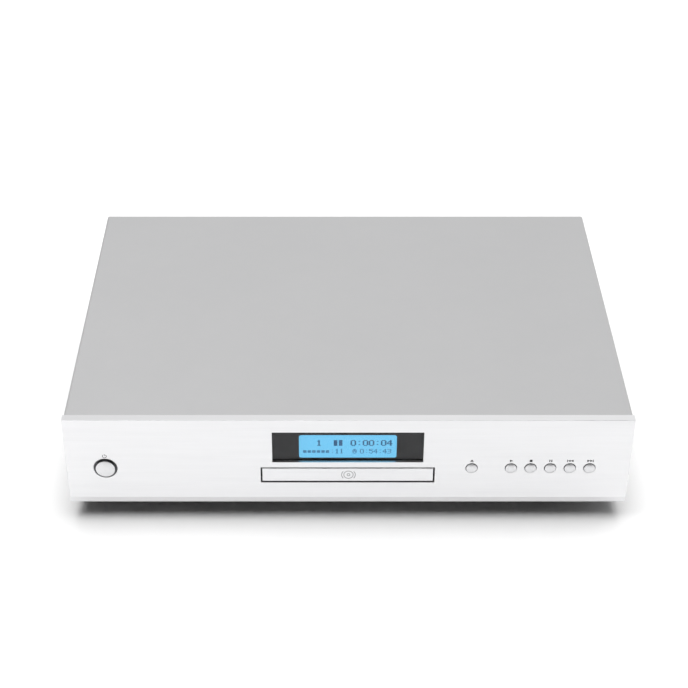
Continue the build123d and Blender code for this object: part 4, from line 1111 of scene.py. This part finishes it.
@dataclass
class FrontMarks:
    """The marks printed on the faceplate: a symbol over each key and over the power button.

    Args:
        above_key: The symbols' middle above the keys' middle.
        tall: A symbol's height.
        wide: A wedge's width.
        bar: A bar's width.
        ink: How far the ink stands out of the face, and how far it goes in.
        power_radius: The power symbol's middle radius.
        power_line: Its line's width.
        power_above: Its middle above the power button's middle.
        power_gap: The gap in its ring, in degrees.
    """

    above_key: float = 7.1
    tall: float = 2.2
    wide: float = 2.3
    bar: float = 0.55
    ink: tuple[float, float] = (0.04, 0.05)
    power_radius: float = 1.5
    power_line: float = 0.42
    power_above: float = 11.6
    power_gap: float = 70.0
    finish: Finish = PrintedInk("black_print_ink", (0.012, 0.012, 0.014), 0.5)

    def depth(self) -> tuple[float, float]:
        """Where the ink starts and ends along Y."""
        face = low_of("faceplate").y
        return face - self.ink[0], face + self.ink[1]

    def bar_at(self, x: tuple[float, float], z: tuple[float, float]) -> Piece:
        """A printed bar between two limits."""
        near, far = self.depth()
        return apply_bevel(slab("bar", (x[0], near, z[0]), (x[1], far, z[1])), 0.015)

    def wedge_at(
        self, x: tuple[float, float], z: tuple[float, float], heading: Heading
    ) -> Piece:
        """A printed triangle: a block whose leading face is drawn in to a blunt tip."""
        near, far = self.depth()
        piece = slab("wedge", (x[0], near, z[0]), (x[1], far, z[1]))
        blunt = 0.06
        with editing(piece):
            centre = pick_faces(piece, heading.value)
            across = (blunt, 1, 1) if heading is Heading.UP else (1, 1, blunt)
            bpy.ops.transform.resize(value=across, center_override=centre)
        return piece

    def symbol(self, key: Key) -> Piece:
        """The symbol over one key."""
        place = middle_of(f"{key.value}_button")
        z = place.z + self.above_key
        low, high = z - self.tall / 2, z + self.tall / 2
        x, half, bar, wide = place.x, self.wide / 2, self.bar, self.wide
        shapes = {
            Key.EJECT: lambda: [
                self.wedge_at((x - half, x + half), (low + bar + 0.3, high), Heading.UP),
                self.bar_at((x - half, x + half), (low, low + bar)),
            ],
            Key.PLAY: lambda: [self.wedge_at((x - half, x + half), (low, high), Heading.RIGHT)],
            Key.STOP: lambda: [self.bar_at((x - half + 0.1, x + half - 0.1), (low, high))],
            Key.PAUSE: lambda: [
                self.bar_at((x - half, x - half + 0.8), (low, high)),
                self.bar_at((x + half - 0.8, x + half), (low, high)),
            ],
            Key.PREVIOUS: lambda: [
                self.bar_at((x - wide - bar / 2, x - wide + bar / 2), (low, high)),
                self.wedge_at((x - wide + bar / 2 + 0.1, x), (low, high), Heading.LEFT),
                self.wedge_at((x, x + wide), (low, high), Heading.LEFT),
            ],
            Key.NEXT: lambda: [
                self.bar_at((x + wide - bar / 2, x + wide + bar / 2), (low, high)),
                self.wedge_at((x, x + wide - bar / 2 - 0.1), (low, high), Heading.RIGHT),
                self.wedge_at((x - wide, x), (low, high), Heading.RIGHT),
            ],
        }
        return joined(f"{key.value}_symbol", shapes[key]())

    def power_symbol(self) -> Piece:
        """A broken ring with a bar through its gap."""
        button = middle_of("power_button")
        near, far = self.depth()
        z = button.z + self.power_above
        half = self.power_line / 2
        ring = hoop(
            "power_ring_mark",
            (button.x, 0, z),
            (self.power_radius - half, self.power_radius + half),
            (near, far),
            sweep=360 - self.power_gap,
            start=self.power_gap / 2,
            steps=28,
        )
        stroke = self.bar_at(
            (button.x - half, button.x + half), (z + 0.1, z + self.power_radius + 0.35)
        )
        return joined("power_symbol", [ring, stroke])

    def build(self) -> list[Piece]:
        """Makes the marks, with their ink."""
        pieces = [self.symbol(key) for key in Key] + [self.power_symbol()]
        ink = self.finish.material()
        for piece in pieces:
            piece.data.materials.append(ink)
            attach(piece, "chassis")
        return pieces


# ------------------------------------------------------------------ display
DOT_SHAPES = {
    "0": (".###.", "#...#", "#...#", "#...#", "#...#", "#...#", ".###."),
    "1": ("..#..", ".##..", "..#..", "..#..", "..#..", "..#..", ".###."),
    "2": (".###.", "#...#", "....#", "...#.", "..#..", ".#...", "#####"),
    "3": ("####.", "....#", "....#", ".###.", "....#", "....#", "####."),
    "4": ("...#.", "..##.", ".#.#.", "#..#.", "#####", "...#.", "...#."),
    "5": ("#####", "#....", "####.", "....#", "....#", "#...#", ".###."),
    ":": (".....", "..#..", ".....", ".....", ".....", "..#..", "....."),
    "-": (".....", ".....", ".....", "#####", ".....", ".....", "....."),
    "pause": ("###..###",) * 7,
    "track": (".....", ".....", "####.", "####.", "####.", "####.", "....."),
    "clock": (".###.", "#.#.#", "#.#.#", "#.###", "#...#", "#...#", ".###."),
}


@dataclass
class DotRow:
    """One row of characters on the display, each of 5 by 7 dots.

    Args:
        name: The piece's name.
        marks: The characters, each a key of DOT_SHAPES, with the X where it starts.
        low: The row's lowest dot's lower edge.
        pitch: From dot to dot, across and up.
        dot: A dot's size, as a share of the pitch.
        thick: How far the dots stand on the glass.
        bold: How many dots wide each dot is drawn.
    """

    name: str
    marks: list[tuple[str, float]]
    low: float
    pitch: tuple[float, float]
    dot: float = 0.93
    thick: float = 0.03
    bold: float = 1.0

    def build(self, glass_y: float, finish: bpy.types.Material) -> Piece:
        """Models one dot and copies it to every place.

        Args:
            glass_y: The front of the display's glass.
            finish: The dots' material.

        Returns:
            The row as one piece.
        """
        across, up = self.pitch
        wide, high = across * self.dot * self.bold, up * self.dot
        first = slab("dot", (0, glass_y - self.thick, 0), (wide, glass_y + 0.02, high))
        with editing(first):
            pick_faces(first, (0, -1, 0))
            bpy.ops.mesh.inset(thickness=0.06 * MM, depth=0.01 * MM)
        dots = []
        for mark, start in self.marks:
            for row, line in enumerate(DOT_SHAPES[mark]):
                for column, cell in enumerate(line):
                    if cell == "#":
                        place = (start + column * across, 0, self.low + (6 - row) * up)
                        dots.append(copied(first, place))
        bpy.data.objects.remove(first)
        piece = joined(self.name, dots)
        piece.data.materials.append(finish)
        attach(piece, "chassis")
        return piece


def spaced(text: str, start: float, pitch: float) -> list[tuple[str, float]]:
    """Each character of a text with the X where it starts."""
    return [(mark, start + n * pitch) for n, mark in enumerate(text) if mark != " "]


@dataclass
class Display:
    """The window's printed mask and what the glass shows.

    Args:
        mask_gap: The mask's space behind the window.
        mask_thick: The mask's thickness.
        margin: The mask's opening outside the display's glass, at its sides and top.
        sill: And below it.
        corner: The opening's corner radius.
        upper_low: The upper row's lower edge above the glass's lower edge.
        upper_pitch: The upper row's dots, across and up.
        lower_low: The lower row's lower edge above the glass's lower edge.
        lower_pitch: The lower row's dots.
    """

    mask_gap: float = 0.02
    mask_thick: float = 0.18
    margin: float = -0.1
    sill: float = 0.0
    corner: float = 1.9
    upper_low: float = 11.4
    upper_pitch: tuple[float, float] = (0.767, 0.79)
    lower_low: float = 4.0
    lower_pitch: tuple[float, float] = (0.577, 0.63)
    mask_finish: Finish = PrintedInk("smoke_print_mask", (0.012, 0.012, 0.014), 0.35)
    dark_dots: Finish = PrintedInk("display_dots_dark", (0.03, 0.12, 0.24), 0.4, glow=2.2)
    light_dots: Finish = PrintedInk("display_dots_light", (0.05, 0.22, 0.38), 0.4, glow=2.2)

    def mask(self) -> Piece:
        """A thin plate behind the window with a round-cornered opening: sliced, bridged and bevelled."""
        window_low, window_high = low_of("display_window"), high_of("display_window")
        glass_low, glass_high = low_of("lcd_screen"), high_of("lcd_screen")
        near = window_high.y + self.mask_gap
        far = near + self.mask_thick
        piece = slab(
            "window_mask",
            (window_low.x + 0.5, near, window_low.z + 0.5),
            (window_high.x - 0.5, far, window_high.z - 0.5),
        )
        left, right = glass_low.x - self.margin, glass_high.x + self.margin
        bottom, top = glass_low.z - self.sill, glass_high.z + self.margin
        with editing(piece):
            for place, facing in (
                ((left, 0, 0), (1, 0, 0)),
                ((right, 0, 0), (1, 0, 0)),
                ((0, 0, bottom), (0, 0, 1)),
                ((0, 0, top), (0, 0, 1)),
            ):
                bpy.ops.mesh.select_all(action="SELECT")
                bpy.ops.mesh.bisect(plane_co=[c * MM for c in place], plane_no=facing)

            def opening(centre: Vector) -> bool:
                """Whether a face lies in the opening."""
                x, z = centre.x / MM, centre.z / MM
                return left < x < right and bottom < z < top

            mesh = bmesh.from_edit_mesh(piece.data)
            for face in mesh.faces:
                face.select_set(abs(face.normal.y) > 0.9 and opening(face.calc_center_median()))
            mesh.select_flush_mode()
            bmesh.update_edit_mesh(piece.data)
            bpy.ops.mesh.bridge_edge_loops()
        with editing(piece, "EDGE"):
            corners = [(x, z) for x in (left, right) for z in (bottom, top)]

            def at_corner(a: Vector, b: Vector) -> bool:
                """Whether an edge runs front to back at a corner of the opening."""
                runs = abs((a - b).normalized().y) > 0.99
                near_corner = any(
                    math.hypot(a.x / MM - x, a.z / MM - z) < 0.05 for x, z in corners
                )
                return runs and near_corner

            pick_edges(piece, at_corner)
            bpy.ops.mesh.bevel(offset=self.corner * MM, segments=5, affect="EDGES")
            bpy.ops.mesh.select_all(action="SELECT")
            bpy.ops.mesh.normals_make_consistent(inside=False)
        piece.data.materials.append(self.mask_finish.material())
        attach(piece, "chassis")
        return piece

    def rows(self) -> list[Piece]:
        """The two rows: track and elapsed time above, tracks on the disc and its length below."""
        glass = low_of("lcd_screen")
        dark, light = self.dark_dots.material(), self.light_dots.material()
        step = self.upper_pitch[0] * 6
        small = self.lower_pitch[0] * 6
        upper = [("1", -24.2), ("pause", -10.9)] + spaced("0:00:04", 1.8, step)
        lower = [("track", -34.2 + n * small) for n in range(6)] + spaced(":11", -34.2 + 6 * small, small)
        lower += [("clock", 3.4)] + spaced("0:54:43", 9.0, small)
        return [
            DotRow(
                "display_upper_row", upper, glass.z + self.upper_low, self.upper_pitch, bold=1.7
            ).build(glass.y, dark),
            DotRow(
                "display_lower_row", lower, glass.z + self.lower_low, self.lower_pitch, bold=1.5
            ).build(glass.y, light),
        ]

    def build(self) -> list[Piece]:
        """Makes the mask and the rows."""
        return [self.mask(), *self.rows()]


# ------------------------------------------------------------------ tray
@dataclass
class TrayMarks:
    """The disc symbol printed on the tray's front, and the soft stops in its recess.

    Args:
        disc: The symbol's outer ring, inner and outer radius.
        hub: Its hub's ring.
        arc: The arcs beside it.
        arc_sweep: How far each arc goes, in degrees.
        ink: How far the ink stands out of the tray's front, and how far it goes in.
        stop: A disc stop's length, width and height in the recess.
        stop_reach: Where the stops lie from the disc's axis.
    """

    disc: tuple[float, float] = (3.35, 3.8)
    hub: tuple[float, float] = (0.85, 1.3)
    arc: tuple[float, float] = (5.0, 5.45)
    arc_sweep: float = 80.0
    ink: tuple[float, float] = (0.04, 0.05)
    stop: tuple[float, float, float] = (7.0, 1.2, 0.35)
    stop_reach: float = 57.6
    finish: Finish = PrintedInk("grey_print_ink", (0.2, 0.2, 0.21), 0.5)
    stop_finish: Finish = Rubber("disc_stop_rubber", (0.03, 0.03, 0.032), 0.75)

    def symbol(self) -> Piece:
        """A disc with its hub, between two arcs."""
        place = middle_of("tray_front")
        face = low_of("tray_front").y
        centre = (place.x + 0.6, 0, place.z + 0.1)
        depth = (face - self.ink[0], face + self.ink[1])
        half = self.arc_sweep / 2
        rings = [
            hoop("disc_mark", centre, self.disc, depth),
            hoop("hub_mark", centre, self.hub, depth, steps=24),
            hoop("right_arc", centre, self.arc, depth, self.arc_sweep, 90 - half, 16),
            hoop("left_arc", centre, self.arc, depth, self.arc_sweep, 270 - half, 16),
        ]
        piece = joined("disc_symbol", rings)
        piece.data.materials.append(self.finish.material())
        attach(piece, "tray")
        return piece

    def stops(self) -> Piece:
        """Four soft pads that the disc's rim rests on, modelled once and turned round the axis."""
        axis = middle_of("turntable")
        floor = high_of("tray").z - 2.5
        length, width, height = self.stop
        pads = []
        for bearing in (25, 155, 205, 335):
            pad = slab(
                "stop",
                (self.stop_reach - width / 2, -length / 2, floor - 0.1),
                (self.stop_reach + width / 2, length / 2, floor + height),
            )
            apply_bevel(pad, 0.2, 2)
            pad.rotation_euler = (0, 0, math.radians(bearing))
            pad.location = (axis.x * MM, self.disc_y() * MM, 0)
            pads.append(settle(pad))
        piece = joined("disc_stops", pads)
        piece.data.materials.append(self.stop_finish.material())
        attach(piece, "tray")
        return piece

    def disc_y(self) -> float:
        """The disc's axis along Y, which is the clamper's."""
        return middle_of("clamper").y

    def build(self) -> list[Piece]:
        """Makes the symbol and the stops."""
        return [self.symbol(), self.stops()]


# ------------------------------------------------------------------ rear
class SocketColour(Enum):
    """The coloured insulator of each phono socket."""

    LEFT = ("left", (0.8, 0.79, 0.75))
    RIGHT = ("right", (0.62, 0.03, 0.03))
    DIGITAL = ("digital", (0.85, 0.3, 0.04))


@dataclass
class RearTrim:
    """Coloured insulators in the phono sockets, nuts on the control sockets, and printed lines.

    Args:
        insulator: An insulator's inner and outer radius.
        insulator_depth: How far it stands off the socket's body.
        washer: The coloured washer's radii, against the panel.
        washer_thick: Its thickness.
        nut: A nut's bore and the radius of its corners.
        nut_thick: Its thickness.
        ink: The printed lines' thickness.
        group_margin: How far a printed frame reaches past its outer sockets' middles.
        frame_reach: How far the frame goes below and above the sockets' middles.
        rule: The width of its lines.
    """

    insulator: tuple[float, float] = (1.8, 3.2)
    insulator_depth: float = 0.4
    washer: tuple[float, float] = (4.25, 6.2)
    washer_thick: float = 0.6
    nut: tuple[float, float] = (3.65, 5.6)
    nut_thick: float = 1.2
    ink: float = 0.04
    group_margin: float = 9.2
    frame_reach: tuple[float, float] = (14.0, 13.0)
    rule: float = 0.3
    nut_finish: Finish = BareMetal("nut_nickel", (0.72, 0.7, 0.66), 0.28)
    print_finish: Finish = PrintedInk("panel_print_ink", (0.02, 0.02, 0.022), 0.5)

    def panel_y(self) -> float:
        """The rear panel's outer face."""
        return high_of("rear_panel").y

    def socket_rings(self) -> list[Piece]:
        """An insulator and a washer in each phono socket's colour."""
        z = middle_of("rca_barrels").z
        face = high_of("rca_bodies").y
        panel = self.panel_y()
        made = []
        for colour in SocketColour:
            word, tone = colour.value
            x = mount_x(f"{word}_phono_plug")
            inner = hoop(
                "insulator", (x, 0, z), self.insulator, (face - 0.2, face + self.insulator_depth)
            )
            outer = hoop(
                "washer", (x, 0, z), self.washer, (panel - 0.02, panel + self.washer_thick)
            )
            piece = joined(f"{word}_socket_insulator", [apply_bevel(inner, 0.08), apply_bevel(outer, 0.15)])
            finish = MouldedPlastic(f"{word}_socket_plastic", tone, 0.35, grain=2600.0, dust=0.15)
            piece.data.materials.append(finish.material())
            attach(piece, "chassis")
            made.append(piece)
        return made

    def nuts(self) -> Piece:
        """A six-sided nut on each control socket: an extruded ring with broken corners."""
        low, high = low_of("control_jacks"), high_of("control_jacks")
        z = middle_of("rca_barrels").z
        panel = self.panel_y()
        first_x = low.x + 6
        deselect_all()
        bpy.ops.mesh.primitive_cylinder_add(
            vertices=6,
            radius=self.nut[1] * MM,
            depth=self.nut_thick * MM,
            rotation=(math.pi / 2, 0, 0),
            location=(first_x * MM, (panel + self.nut_thick / 2) * MM, z * MM),
        )
        nut = settle(named(bpy.context.active_object, "nut"))
        with editing(nut):
            mesh = bmesh.from_edit_mesh(nut.data)
            for face in mesh.faces:
                face.select_set(abs(face.normal.y) > 0.9)
            bmesh.update_edit_mesh(nut.data)
            wall = self.nut[1] * math.cos(math.pi / 6) - self.nut[0]
            bpy.ops.mesh.inset(thickness=wall * MM)
            bpy.ops.mesh.bridge_edge_loops()
            bpy.ops.mesh.select_all(action="SELECT")
            bpy.ops.mesh.normals_make_consistent(inside=False)
        apply_bevel(nut, 0.15, 2)
        piece = joined("control_socket_nuts", [nut, copied(nut, (high.x - 6 - first_x, 0, 0))])
        piece.data.materials.append(self.nut_finish.material())
        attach(piece, "chassis")
        return piece

    def printed_lines(self) -> Piece:
        """Frames round the socket groups, and an arrow into and out of the control sockets."""
        z = middle_of("rca_barrels").z
        panel = self.panel_y()
        depth = (panel - 0.03, panel + self.ink)
        bottom, top = z - self.frame_reach[0], z + self.frame_reach[1]
        marks = []
        groups = (
            ("left_phono_plug", "right_phono_plug"),
            ("digital_phono_plug", "digital_phono_plug"),
            ("control_plug_in", "control_plug_out"),
        )
        for first, last in groups:
            left, right = mount_x(first) - self.group_margin, mount_x(last) + self.group_margin
            for low, high in ((bottom, bottom + self.rule), (top - self.rule, top)):
                marks.append(slab("rule", (left, depth[0], low), (right, depth[1], high)))
            for x in (left, right - self.rule):
                marks.append(slab("rule", (x, depth[0], bottom), (x + self.rule, depth[1], top)))
        for name, heading in (("control_plug_in", Heading.LEFT), ("control_plug_out", Heading.RIGHT)):
            x = mount_x(name)
            arrow = slab("arrow", (x - 1.6, depth[0], z + 9), (x + 1.6, depth[1], z + 11.4))
            with editing(arrow):
                centre = pick_faces(arrow, heading.value)
                bpy.ops.transform.resize(value=(1, 1, 0.06), center_override=centre)
            marks.append(arrow)
        piece = joined("rear_print", marks)
        piece.data.materials.append(self.print_finish.material())
        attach(piece, "chassis")
        return piece

    def build(self) -> list[Piece]:
        """Makes the rings, nuts and lines."""
        return [*self.socket_rings(), self.nuts(), self.printed_lines()]


# ------------------------------------------------------------------ finishes of the frame's nodes
@dataclass
class Wardrobe:
    """Gives every CAD node the finish of its slot, or one of its own.

    Args:
        turned_nodes: Buttons whose rings are centred on themselves.
        upright_boards: Circuit boards that stand upright, so their tracks are turned.
        shade_black_sheets: Sheets painted black, whatever their slot, as painted shade for the dark gap
            under the unit.
    """

    turned_nodes: tuple[str, ...] = (
        "power_button", "eject_button", "play_button", "stop_button", "pause_button",
        "previous_button", "next_button",
    )
    upright_boards: tuple[str, ...] = ("display_board",)
    shade_black_sheets: tuple[str, ...] = ("base_pan",)

    def by_slot(self) -> dict[str, Finish]:
        """The finish of each of the record's slots."""
        ring = middle_of("power_ring")
        return {
            "face_aluminium": BrushedAluminium("brushed_aluminium", (0.8, 0.8, 0.81), 0.33),
            "cover_paint": PowderCoat("satin_powder_coat", (0.42, 0.42, 0.425), 0.5),
            "plated_steel": ZincPlate("zinc_plated_sheet", (0.6, 0.61, 0.62), 0.36),
            "window_acrylic": SmokeAcrylic("smoke_acrylic", (0.3, 0.3, 0.32), 0.03),
            "lcd_blue": BacklitGlass(
                "backlit_display", (0.05, 0.08, 0.1), 0.25, power=3.3, centre=tuple(middle_of("lcd_screen"))
            ),
            "bezel_black": MouldedPlastic("fine_black_plastic", (0.022, 0.022, 0.025), 0.42, grain=2200.0),
            "board_green": CircuitBoard("green_circuit_board", (0.02, 0.16, 0.06), 0.3),
            "switch_black": MouldedPlastic("switch_plastic", (0.03, 0.03, 0.03), 0.45, grain=2400.0),
            "button_silver": SatinPlating("satin_plating", (0.86, 0.86, 0.87), 0.24),
            "ring_grey": SatinPlating(
                "dark_ring_plating", (0.09, 0.09, 0.095), 0.3, centre=tuple(ring), rings=2600.0
            ),
            "rod_white": NaturalAcetal("white_acetal", (0.82, 0.82, 0.8), 0.4),
            "foot_plastic": MouldedPlastic(
                "foot_plastic", (0.03, 0.03, 0.032), 0.4, grain=1100.0, depth=0.03
            ),
            "pad_rubber": Rubber("foot_rubber", (0.03, 0.03, 0.031), 0.8),
            "tray_plastic": MouldedPlastic("tray_plastic", (0.035, 0.035, 0.038), 0.46, grain=1700.0),
            "gear_plastic": NaturalAcetal("gear_acetal", (0.83, 0.81, 0.74), 0.36),
            "motor_steel": BareMetal(
                "drawn_motor_can", (0.62, 0.62, 0.63), 0.26, turn=(0.0, 90.0, 0.0)
            ),
            "belt_rubber": Rubber("belt_rubber", (0.018, 0.018, 0.018), 0.6, grain=2600.0),
            "winding_tape": WoundTape(
                "amber_winding_tape", (0.55, 0.3, 0.07), 0.2, centre=tuple(middle_of("transformer"))
            ),
            "jack_gold": SatinPlating("gold_plating", (0.85, 0.63, 0.26), 0.2, rings=5200.0),
            "pin_metal": BareMetal("nickel_plating", (0.74, 0.72, 0.68), 0.24, drawn=3600.0),
            "socket_black": MouldedPlastic("socket_plastic", (0.025, 0.025, 0.028), 0.38, grain=2000.0),
            "can_sleeve": StripedSleeve(
                "can_sleeve", (0.035, 0.04, 0.12), 0.25, second=(0.55, 0.56, 0.6), pitch=9.0, share=0.16
            ),
            "chip_black": MouldedPlastic("chip_resin", (0.02, 0.02, 0.02), 0.55, grain=3200.0, depth=0.01),
            "sink_aluminium": BrushedAluminium(
                "extruded_aluminium", (0.35, 0.35, 0.36), 0.42, across=1500.0, turn=(0.0, 90.0, 0.0)
            ),
            "screw_steel": BareMetal(
                "zinc_screws", (0.58, 0.58, 0.6), 0.3, stain=(0.55, 0.5, 0.36), drawn=5200.0
            ),
            "screw_black": BareMetal(
                "black_oxide_screws", (0.05, 0.05, 0.052), 0.35, stain=(0.1, 0.1, 0.1), drawn=5200.0
            ),
            "ribbon_white": StripedSleeve(
                "flat_cable", (0.82, 0.83, 0.83), 0.35, second=(0.5, 0.5, 0.48), pitch=250.0, share=0.5
            ),
            "wire_red": StripedSleeve(
                "wire_insulation", (0.42, 0.03, 0.025), 0.32, second=(0.3, 0.02, 0.02), pitch=160.0,
                along="Z",
            ),
            "lens_glass": CoatedLens("coated_lens", (0.5, 0.6, 0.85), 0.03),
        }

    def of_its_own(self, node: str) -> Finish | None:
        """A node's own finish, where its pattern is centred or turned on the node itself, or where a sheet
        is painted black as shade.
        """
        if node in self.turned_nodes:
            return SatinPlating(
                f"satin_plating_{node}", (0.74, 0.74, 0.75), 0.34, centre=tuple(middle_of(node))
            )
        if node in self.upright_boards:
            return CircuitBoard(
                f"green_circuit_board_{node}", (0.02, 0.16, 0.06), 0.3, turn=(90.0, 0.0, 0.0)
            )
        # Painted shade: the black pan stands in for the dark shadow under the unit.
        if node in self.shade_black_sheets:
            return PowderCoat("shade_black_powder_coat", (0.02, 0.02, 0.021), 0.5)
        return None

    def dress(self, nodes: dict[str, Piece]) -> int:
        """Puts a finish on every node.

        Args:
            nodes: The frame's nodes by name, each carrying its slot as its only material.

        Returns:
            How many finishes were made.
        """
        finishes = self.by_slot()
        made: dict[str, bpy.types.Material] = {}
        for name, node in sorted(nodes.items()):
            slot = node.data.materials[0].name.split(".")[0]
            own = self.of_its_own(name)
            finish = own or finishes[slot]
            if finish.name not in made:
                made[finish.name] = finish.material()
            node.data.materials.clear()
            node.data.materials.append(made[finish.name])
        return len(made)


# ------------------------------------------------------------------ studio
@dataclass
class Softbox:
    """A square area light.

    Args:
        place: Where it hangs, in metres.
        aim: The point that it faces.
        size: Its side, in metres.
        power: Its power in watts.
    """

    place: Point
    aim: Point
    size: float
    power: float

    def build(self, name: str) -> None:
        """Adds the light."""
        light = bpy.data.lights.new(name, "AREA")
        light.shape = "SQUARE"
        light.size = self.size
        light.energy = self.power
        lamp = bpy.data.objects.new(name, light)
        bpy.context.scene.collection.objects.link(lamp)
        lamp.location = self.place
        towards = Vector(self.aim) - Vector(self.place)
        lamp.rotation_euler = towards.to_track_quat("-Z", "Y").to_euler()


@dataclass
class Studio:
    """A white sweep under a broad overhead light, and the camera.

    Args:
        eye: The camera's place, in metres.
        tilt: The camera's turn about X from straight down, in degrees.
        lens: Its focal length, in millimetres.
        shift: How far the picture is moved sideways.
        floor_half: Half the floor's side, in metres.
        sky: The strength of the light from all round, where it is weakest and strongest.
        sky_towards: Where the sky is strongest.
        sky_edge: How closely a direction faces there, as a cosine, where the sky starts and is full.
        overhead: The overhead light's strength.
        overhead_spread: How broad it is, in degrees.
        overhead_lean: How far it leans from upright towards the front, in degrees.
        floor_tone: The floor's colour.
        boxes: The softboxes by name.
    """

    eye: Point = (-0.014606, -1.114936, 0.831107)
    tilt: float = 55.3613
    lens: float = 84.4497
    shift: float = 0.021984
    floor_half: float = 4.0
    sky: tuple[float, float] = (0.02, 0.95)
    sky_towards: Point = (0.3, 0.75, 0.62)
    sky_edge: tuple[float, float] = (0.5, 0.95)
    overhead: float = 2.7
    overhead_spread: float = 50.0
    overhead_lean: float = 5.0
    floor_tone: Colour = (0.95, 0.95, 0.95)
    boxes: dict[str, Softbox] = field(
        default_factory=lambda: {
            "front_left_softbox": Softbox((-0.45, -0.4, 0.95), (-0.25, -0.25, 0.0), 0.5, 1.6),
        }
    )

    def camera(self) -> None:
        """Adds the camera and makes it the scene's."""
        data = bpy.data.cameras.new("camera")
        data.lens = self.lens
        data.sensor_width = 36.0
        data.shift_x = self.shift
        data.clip_start = 0.01
        data.clip_end = 50.0
        camera = bpy.data.objects.new("camera", data)
        bpy.context.scene.collection.objects.link(camera)
        camera.location = self.eye
        camera.rotation_euler = (math.radians(self.tilt), 0, 0)
        bpy.context.scene.camera = camera

    def floor(self) -> None:
        """Adds the floor, a matt white sheet with a faint tooth."""
        deselect_all()
        bpy.ops.mesh.primitive_plane_add(size=2 * self.floor_half)
        sheet = named(bpy.context.active_object, "studio_floor")
        bench = NodeBench("white_sweep")
        tooth = bench.spread(bench.noise(400.0, 2.0), (0.3, 0.7))
        bench.colour(bench.blend(bench.times(tooth, 0.2), self.floor_tone, shade(self.floor_tone, 1.03)))
        bench.roughness(0.9)
        bench.shader.inputs["Specular IOR Level"].default_value = 0.1
        sheet.data.materials.append(bench.material)
        sheet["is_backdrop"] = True

    def lights(self) -> None:
        """Adds the sky, the overhead light and the softboxes."""
        world = bpy.data.worlds.new("studio_sky")
        world.use_nodes = True
        nodes, links = world.node_tree.nodes, world.node_tree.links
        around = nodes.new("ShaderNodeTexCoord")
        towards = nodes.new("ShaderNodeVectorMath")
        towards.operation = "DOT_PRODUCT"
        towards.inputs[1].default_value = Vector(self.sky_towards).normalized()
        graded = nodes.new("ShaderNodeMapRange")
        graded.interpolation_type = "SMOOTHSTEP"
        (
            graded.inputs["From Min"].default_value,
            graded.inputs["From Max"].default_value,
        ) = self.sky_edge
        (
            graded.inputs["To Min"].default_value,
            graded.inputs["To Max"].default_value,
        ) = self.sky
        links.new(around.outputs["Generated"], towards.inputs[0])
        links.new(towards.outputs["Value"], graded.inputs["Value"])
        links.new(graded.outputs["Result"], nodes["Background"].inputs["Strength"])
        nodes["Background"].inputs["Color"].default_value = (1.0, 1.0, 1.0, 1.0)
        bpy.context.scene.world = world
        sun = bpy.data.lights.new("overhead_light", "SUN")
        sun.energy = self.overhead
        sun.angle = math.radians(self.overhead_spread)
        lamp = bpy.data.objects.new("overhead_light", sun)
        bpy.context.scene.collection.objects.link(lamp)
        lamp.location = (0, 0, 3)
        lamp.rotation_euler = (math.radians(self.overhead_lean), 0, 0)
        for name, box in self.boxes.items():
            box.build(name)

    def build(self) -> None:
        """Sets the whole studio up."""
        self.camera()
        self.floor()
        self.lights()
        bpy.context.scene.view_settings.view_transform = "Standard"


# ------------------------------------------------------------------ the whole
def corners() -> list[list[float]]:
    """The shown object's lowest and highest corners as plain numbers."""
    return [[round(c, 5) for c in corner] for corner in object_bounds()]


def main() -> None:
    """Builds the studio, the new pieces and the finishes."""
    logging.basicConfig(level=logging.INFO, format="%(name)s: %(message)s")
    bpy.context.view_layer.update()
    Studio().build()
    for assembly in (FrontMarks(), Display(), TrayMarks(), RearTrim()):
        for piece in assembly.build():
            LOG.info("%s: %s, %d faces", type(assembly).__name__, piece.name, len(piece.data.polygons))
    count = Wardrobe().dress(frame["nodes"])
    LOG.info("%d finishes on %d nodes", count, len(frame["nodes"]))


if __name__ == "__main__":
    main()
